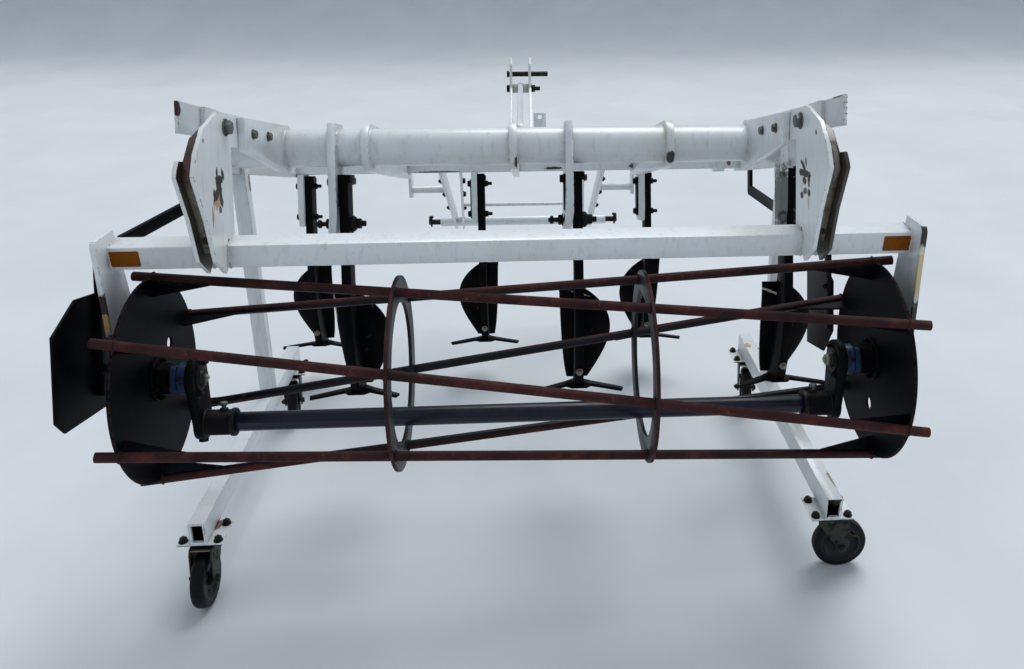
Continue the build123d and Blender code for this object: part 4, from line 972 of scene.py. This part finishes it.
# Crank ends: the axle's nut on the inner side, a few bolts, and clamping screws on the sleeves
crank = {"innerMm": 745.0, "outerMm": 765.0, "dropMm": 119.0, "sleeveFromMm": 677.0,
         "nutMm": {-1: 12.0, 1: 17.0}, "screwMm": 706.0, "nippleMm": 688.0, "strapMm": 755.0}
lowForward = machine["axleForwardMm"] + crank["dropMm"] * math.sin(lean)
lowUp = machine["axleUpMm"] - crank["dropMm"] * math.cos(lean)
bm = bmesh.new()
pale = bmesh.new()
grey = bmesh.new()
upward = (0, 0, 1)
for hand in hands:
    inward, inner = (-hand, 0, 0), hand * crank["innerMm"]
    fastener(pale, cagePoint(inner - hand * 4, 0, 0), inward, crank["nutMm"][hand], 4)
    turned(bm, cagePoint(inner, 0, 0), inward, [(30, 0), (30, 3), (26, 5)], 36)
    for radius, turn in ((37, 250), (38, 60)):
        fastener(bm, cagePoint(inner, radius, turn), inward, 9, 4)
    # collar and weld of the sleeve
    turned(bm, (hand * crank["sleeveFromMm"], lowForward, lowUp), (hand, 0, 0),
           [(23, 0), (31.5, 0), (33, 1.5), (33, 9), (31.5, 10.5), (23, 10.5)], 36, True)
    weldRing(bm, (inner, lowForward, lowUp), (1, 0, 0), 31, 3.0)
    # clamping screw with its hexagon head on top of the sleeve, and a grease nipple beside it
    top = Vector((hand * crank["screwMm"], lowForward, lowUp))
    turned(bm, top + Vector((0, 0, 26)), upward, [(11, 0), (11, 6), (9, 8)], 6)
    turned(grey, top + Vector((0, 0, 33)), upward, [(5, 0), (5, 6), (4.4, 7), (5, 8)], 16)
    turned(grey, top + Vector((0, 0, 40)), upward, [(8.5, 0), (9.5, 1), (9.5, 7), (8, 8.5)], 6)
    turned(bm, (hand * crank["nippleMm"], lowForward - 24, lowUp + 20), (0, -0.75, 0.66),
           [(4, 0), (4, 6), (2.4, 7), (2.6, 11), (1.5, 13)], 14)
    # strap bolt through the foot of the crank
    strap = (hand * crank["strapMm"], lowForward, lowUp - 44)
    turned(bm, strap, upward, [(11, 0), (12, 1), (12, 8), (11, 9)], 6)
makePiece("crankHardware", bm, fastenerBlack, "frame")
makePiece("axleNuts", pale, brightSteel, "frame")
makePiece("sleeveScrews", grey, greySteel, "frame")

# Bearing units: a domed housing against the crank and a tilted flange with rounded corners beside the hub
bearing = {"halfForwardMm": 43.0, "halfUpMm": 29.0, "cornerMm": 12.0, "flangeFromMm": 786.0, "flangeMm": 12.0,
           "tiltDeg": -9.0, "boltsMm": 34.0}
tilt = math.radians(bearing["tiltDeg"])
flange = [(machine["axleForwardMm"] + f * math.cos(tilt) - u * math.sin(tilt),
           machine["axleUpMm"] + f * math.sin(tilt) + u * math.cos(tilt))
          for f, u in roundedCorners(bearing["halfForwardMm"], bearing["halfUpMm"], bearing["cornerMm"], 6)]
bm = bmesh.new()
bolts = bmesh.new()
for hand in hands:
    way = (hand, 0, 0)
    sidePlate(bm, hand, bearing["flangeFromMm"], bearing["flangeMm"], flange)
    housing = cagePoint(hand * crank["outerMm"], 0, 0)
    turned(bm, housing, way, [(24, 0), (33, 0), (36, 3), (37, 22), (24, 22)], 40, True)
    for turn in (bearing["tiltDeg"], bearing["tiltDeg"] + 180):
        spot = cagePoint(hand * bearing["flangeFromMm"], bearing["boltsMm"], turn)
        fastener(bolts, spot, (-hand, 0, 0), 7, 3)
    insert = cagePoint(hand * (crank["outerMm"] + 24), 0, 0)
    turned(bolts, insert, way, [(20.6, 0), (25, 0), (25, 9.5), (20.6, 9.5)], 36, True)
makePiece("bearingHousings", bm, bearingBlue, "frame", edgeMm=1.5, node="bearing_units")
makePiece("bearingInserts", bolts, fastenerBlack, "frame")

# Castors: where each stands, forward from the pipe, and which way it trails in degrees
castors = {"rear_left": (-801.0, -489.0, -90.0), "rear_right": (781.0, -489.0, 0.0),
           "front_left": (-801.0, 369.0, -80.0), "front_right": (781.0, 369.0, -100.0)}
# their pressed parts lie along the trail and up from the floor, and the wheel's are radius and place across
castor = {"trailMm": 40.0, "wheelMm": 70.0, "plateXMm": 112.0, "plateYMm": 92.0, "plateLowMm": 169.0,
          "plateTopMm": 175.0, "boltXMm": 42.0, "boltYMm": 32.0, "raceMm": 28.0, "halfForkMm": 24.0,
          "legMm": 4.0, "crownMm": 150.0, "rivets": 3, "rivetsMm": 31.0, "ribs": 4,
          "leg": [(-30, 159), (44, 159), (52, 146), (60, 100), (59, 76), (52, 60), (40, 54), (28, 60),
                  (14, 88), (-10, 120), (-28, 144)],
          "pad": [(58, 100), (64, 97), (88, 90), (90, 93), (66, 102), (60, 106)],
          "arm": [(30, 108), (60, 98), (62, 104), (34, 118)],
          "centre": [(6.2, -20), (15, -20), (17, -18), (17, -9), (22, -7), (40, -9), (45, -13), (47, -16),
                     (54, -16), (54, 16), (47, 16), (45, 13), (40, 9), (22, 7), (17, 9), (17, 18), (15, 20),
                     (6.2, 20)],
          "tyre": [(54, -16), (60, -16), (61, -15.2), (64, -15.6), (67.4, -13.6), (69.2, -10.5), (70, -6),
                   (70, 6), (69.2, 10.5), (67.4, 13.6), (64, 15.6), (61, 15.2), (60, 16), (54, 16)]}
whitePlates = bmesh.new()
zincPlates = bmesh.new()
plateBolts = bmesh.new()
for x, forward, turnDeg in castors.values():
    y = machine["pipeForwardMm"] + forward
    low, top = castor["plateLowMm"], castor["plateTopMm"]
    middle = (low + top) / 2
    for bm, inset, push in ((whitePlates, 0, top - middle), (zincPlates, 2, low - middle)):
        hx, hy = castor["plateXMm"] / 2 - inset, castor["plateYMm"] / 2 - inset
        slab(bm, [(x + sx * hx, y + sy * hy, middle) for sx, sy in fourCorners], (0, 0, push))
    race = castor["raceMm"]
    turned(zincPlates, (x, y, low), (0, 0, -1), [(race + 6, -1), (race + 5, 2), (race, 4), (race, 6)], 40)
    turned(zincPlates, (x, y, low - 5), (0, 0, -1), [(8, 0), (8, 15)], 20)
    for sx in hands:
        for sy in hands:
            spot = (x + sx * castor["boltXMm"], y + sy * castor["boltYMm"])
            fastener(plateBolts, (*spot, top), (0, 0, 1), 11, 3)
            turned(plateBolts, (*spot, low), (0, 0, -1), [(9, 0), (9, 2.5), (7, 3.5)], 20)
makePiece("castorMountPlates", whitePlates, railWhite, "frame", millimetre, 0.8)
makePiece("castorTopPlates", zincPlates, castorZinc, "frame", millimetre, node="castor_plates")
makePiece("castorPlateBolts", plateBolts, castorBolt, "frame", millimetre)

for name, (x, forward, turnDeg) in castors.items():
    turn = math.radians(turnDeg)
    up = Vector((0, 0, 1))
    trail = Vector((math.cos(turn), math.sin(turn), 0))
    across = Vector((math.sin(turn), -math.cos(turn), 0))
    kingpin = Vector((x, machine["pipeForwardMm"] + forward, 0))
    axle = kingpin + trail * castor["trailMm"] + up * castor["wheelMm"]
    fork, wheel, half, thick = "fork_" + name, "wheel_" + name, castor["halfForkMm"], castor["legMm"]
    # fork: crown and top, two wide legs that narrow to the axle, axle bolt
    bm = bmesh.new()
    crown = [(8.1, 0), (29, 0), (30, 1), (30, 9), (26, 11), (8.1, 11)]
    turned(bm, kingpin + up * castor["crownMm"], up, crown, 40, True)
    top = ((half, 12), (half, 43), (-half, 43), (-half, 12))
    slab(bm, [kingpin + across * a + trail * t + up * 156 for a, t in top], up * 3)
    for side in hands:
        leg = [kingpin + across * (side * half) + trail * t + up * z for t, z in castor["leg"]]
        slab(bm, leg, across * (side * thick))
        turned(bm, axle + across * (side * (half + thick)), across * side, [(11, 0), (11, 1.5)], 24)
        head = axle + across * (side * (half + thick + 0.5))
        fastener(bm, head, across * side, 10, 4.0 if side > 0 else 0.0, False)
    turned(bm, axle - across * 28, across, [(6, 0), (6, 56)], 20)
    makePiece("castorForkPressing_" + name, bm, castorZinc, fork, millimetre, 0.8,
              node="castor_" + fork)
    # bright rolled edge across the top of the fork, over the wheel
    bm = bmesh.new()
    lip = kingpin + trail * 43 + up * 153.5 - across * 27
    turned(bm, lip, across, [(1.2, 0), (2.2, 1), (2.2, 53), (1.2, 54)], 12)
    makePiece("castorForkLip_" + name, bm, castorLipZinc, fork, millimetre)
    # brake pedal on the trailing side, a bent tongue with a ribbed pad and two arms
    bm = bmesh.new()
    slab(bm, [kingpin - across * 17 + trail * t + up * z for t, z in castor["pad"]], across * 34)
    for side in hands:
        arms = [kingpin + across * (side * 22) + trail * t + up * z for t, z in castor["arm"]]
        slab(bm, arms, across * (side * -3))
    for k in range(castor["ribs"]):
        spot = kingpin + trail * (66 + 6 * k) + up * (101.5 - 6 * k * 0.32)
        turned(bm, spot - across * 15, across, [(1.4, 0), (1.4, 30)], 10)
    makePiece("castorPedal_" + name, bm, pedalZinc, fork, millimetre, 0.6)
    # wheel centre with dished faces and hub rivets, and a tyre with rounded shoulders
    bm = bmesh.new()
    turned(bm, axle, across, castor["centre"], 56, True)
    for side in hands:
        for number in range(castor["rivets"]):
            a = math.radians(50 + 360 / castor["rivets"] * number)
            spot = axle + across * (side * 7) + (trail * math.cos(a) + up * math.sin(a)) * castor["rivetsMm"]
            turned(bm, spot, across * side, [(4, 0), (4, 2.4), (2.4, 3.6)], 14)
    makePiece("castorCentre_" + name, bm, wheelNylon, wheel, millimetre,
              node="castor_rim_" + name)
    bm = bmesh.new()
    turned(bm, axle, across, castor["tyre"], 72, True)
    makePiece("castorTyreRubber_" + name, bm, tyreRubber, wheel, millimetre,
              node="castor_tyre_" + name)
print("castors fitted")

# Rail ends: a thick lip just inside each open end, and dark rust with painted shade along the inside
rail = {"xMm": (-801, 781), "backMm": -728.2, "frontMm": 221.8, "middleUpMm": 205.0, "halfXMm": 17.0,
        "halfUpMm": 27.0, "lipMm": 3.0, "lipLongMm": 8.0, "liningMm": 0.6}
lips = bmesh.new()
lining = bmesh.new()
back, front, long = rail["backMm"], rail["frontMm"], rail["lipLongMm"]
hx, high = rail["halfXMm"], 2 * rail["halfUpMm"]
low = rail["middleUpMm"] - rail["halfUpMm"]
for x in rail["xMm"]:
    for bm, start, end, wall in ((lips, back + 0.3, back + long, rail["lipMm"]),
                                 (lips, front - long, front - 0.3, rail["lipMm"]),
                                 (lining, back + long, front - long, rail["liningMm"])):
        for x0, x1, z0, z1 in ((-hx, hx, 0, wall), (-hx, hx, high - wall, high),
                               (-hx, wall - hx, wall, high - wall), (hx - wall, hx, wall, high - wall)):
            slab(bm, [(x + dx, start, low + z) for dx, z in ((x0, z0), (x1, z0), (x1, z1), (x0, z1))],
                 (0, end - start, 0))
makePiece("standRailLips", lips, railWhite, "frame", millimetre)
makePiece("standRailLining", lining, railRustAndShade, "frame", millimetre)

# Plain pale floor that sweeps up behind the machine
floorSweep = {"halfWidth": 16.0, "near": -9.0, "bend": 9.0, "rise": 6.0, "radius": 3.0, "steps": 12,
              "colour": "D6DADD", "shade": "CDD2D6", "cloudMm": 900}
bm = bmesh.new()
bend, radius, w = floorSweep["bend"], floorSweep["radius"], floorSweep["halfWidth"]
line = [(floorSweep["near"], 0.0), (bend, 0.0)]
for k in range(1, floorSweep["steps"] + 1):
    turn = math.radians(90 * k / floorSweep["steps"])
    line.append((bend + radius * math.sin(turn), radius * (1 - math.cos(turn))))
line.append((line[-1][0], floorSweep["rise"]))
for (y0, z0), (y1, z1) in zip(line, line[1:]):
    bm.faces.new([bm.verts.new(p) for p in ((-w, y0, z0), (w, y0, z0), (w, y1, z1), (-w, y1, z1))])
bmesh.ops.remove_doubles(bm, verts=bm.verts, dist=0.0001)
mesh = bpy.data.meshes.new("floorSweep")
bm.to_mesh(mesh)
bm.free()
for face in mesh.polygons:
    face.use_smooth = True
floor = bpy.data.objects.new("floorSweep", mesh)
bpy.context.scene.collection.objects.link(floor)
# Matte floor paint, so the machine's soft shadow is all that shows on it
material, tree, shader, place = startMaterial("mattePaintedFloor", False, Roughness=0.75, IOR=1.45)
clouds = [(floorSweep["shade"], floorSweep["cloudMm"], 0.35, 0.7, 1.0)]
colour = mottle(tree, place, paintColour(floorSweep["colour"]), clouds)
tree.links.new(colour, shader.inputs["Base Color"])
mesh.materials.append(material)

# Soft light from above and a little ahead of the machine, so faces toward the camera are in open shade
light = {"strength": 1.9, "softDeg": 38, "aheadDeg": 28, "rightDeg": 14, "worldStrength": 0.62,
         "world": "DCE6F2"}
sun = bpy.data.lights.new("softOverhead", "SUN")
sun.energy = light["strength"]
sun.angle = math.radians(light["softDeg"])
lamp = bpy.data.objects.new("softOverhead", sun)
lamp.rotation_euler = (-math.radians(light["aheadDeg"]), math.radians(light["rightDeg"]), 0)
bpy.context.scene.collection.objects.link(lamp)
world = bpy.data.worlds.new("paleStudio")
world.use_nodes = True
bpy.context.scene.world = world
sky = world.node_tree.nodes["Background"]
sky.inputs["Color"].default_value = paintColour(light["world"])
sky.inputs["Strength"].default_value = light["worldStrength"]

# The camera stands behind the machine at eye height and looks a little down
shot = {"placeMm": (14.0, -2399.0, -83.0), "pitchDeg": 3.74, "yawDeg": 3.48, "rollDeg": -0.89,
        "focalPx": 864.9, "centrePx": (579.5, 231.6), "framePx": (1024, 669), "sensorMm": 36.0}
wide, high = shot["framePx"]
centreX, centreY = shot["centrePx"]
pitch, yaw, roll = (math.radians(shot[k]) for k in ("pitchDeg", "yawDeg", "rollDeg"))
rightWay = Vector((math.cos(yaw), -math.sin(yaw), 0))
lookWay = Vector((math.sin(yaw) * math.cos(pitch), math.cos(yaw) * math.cos(pitch), -math.sin(pitch)))
upWay = rightWay.cross(lookWay)
rolledRight = rightWay * math.cos(roll) + upWay * math.sin(roll)
rolledUp = upWay * math.cos(roll) - rightWay * math.sin(roll)
axes = Matrix((rolledRight, rolledUp, -lookWay)).transposed().to_4x4()
camera = bpy.data.cameras.new("eyeLevelCamera")
camera.sensor_width = shot["sensorMm"]
camera.sensor_fit = "HORIZONTAL"
camera.lens = shot["focalPx"] / wide * shot["sensorMm"]
camera.shift_x = (wide / 2 - centreX) / wide
camera.shift_y = (centreY - high / 2) / wide
camera.clip_end = 200
view = bpy.data.objects.new("eyeLevelCamera", camera)
bpy.context.scene.collection.objects.link(view)
# its place and turns are measured along the leaning machine
leanTurn = Matrix.Rotation(-lean, 4, "X")
view.matrix_world = Matrix.Translation(deckMatrix @ Vector(shot["placeMm"])) @ leanTurn @ axes
bpy.context.scene.camera = view
bpy.context.scene.view_settings.view_transform = "Standard"
print("stage and camera set")
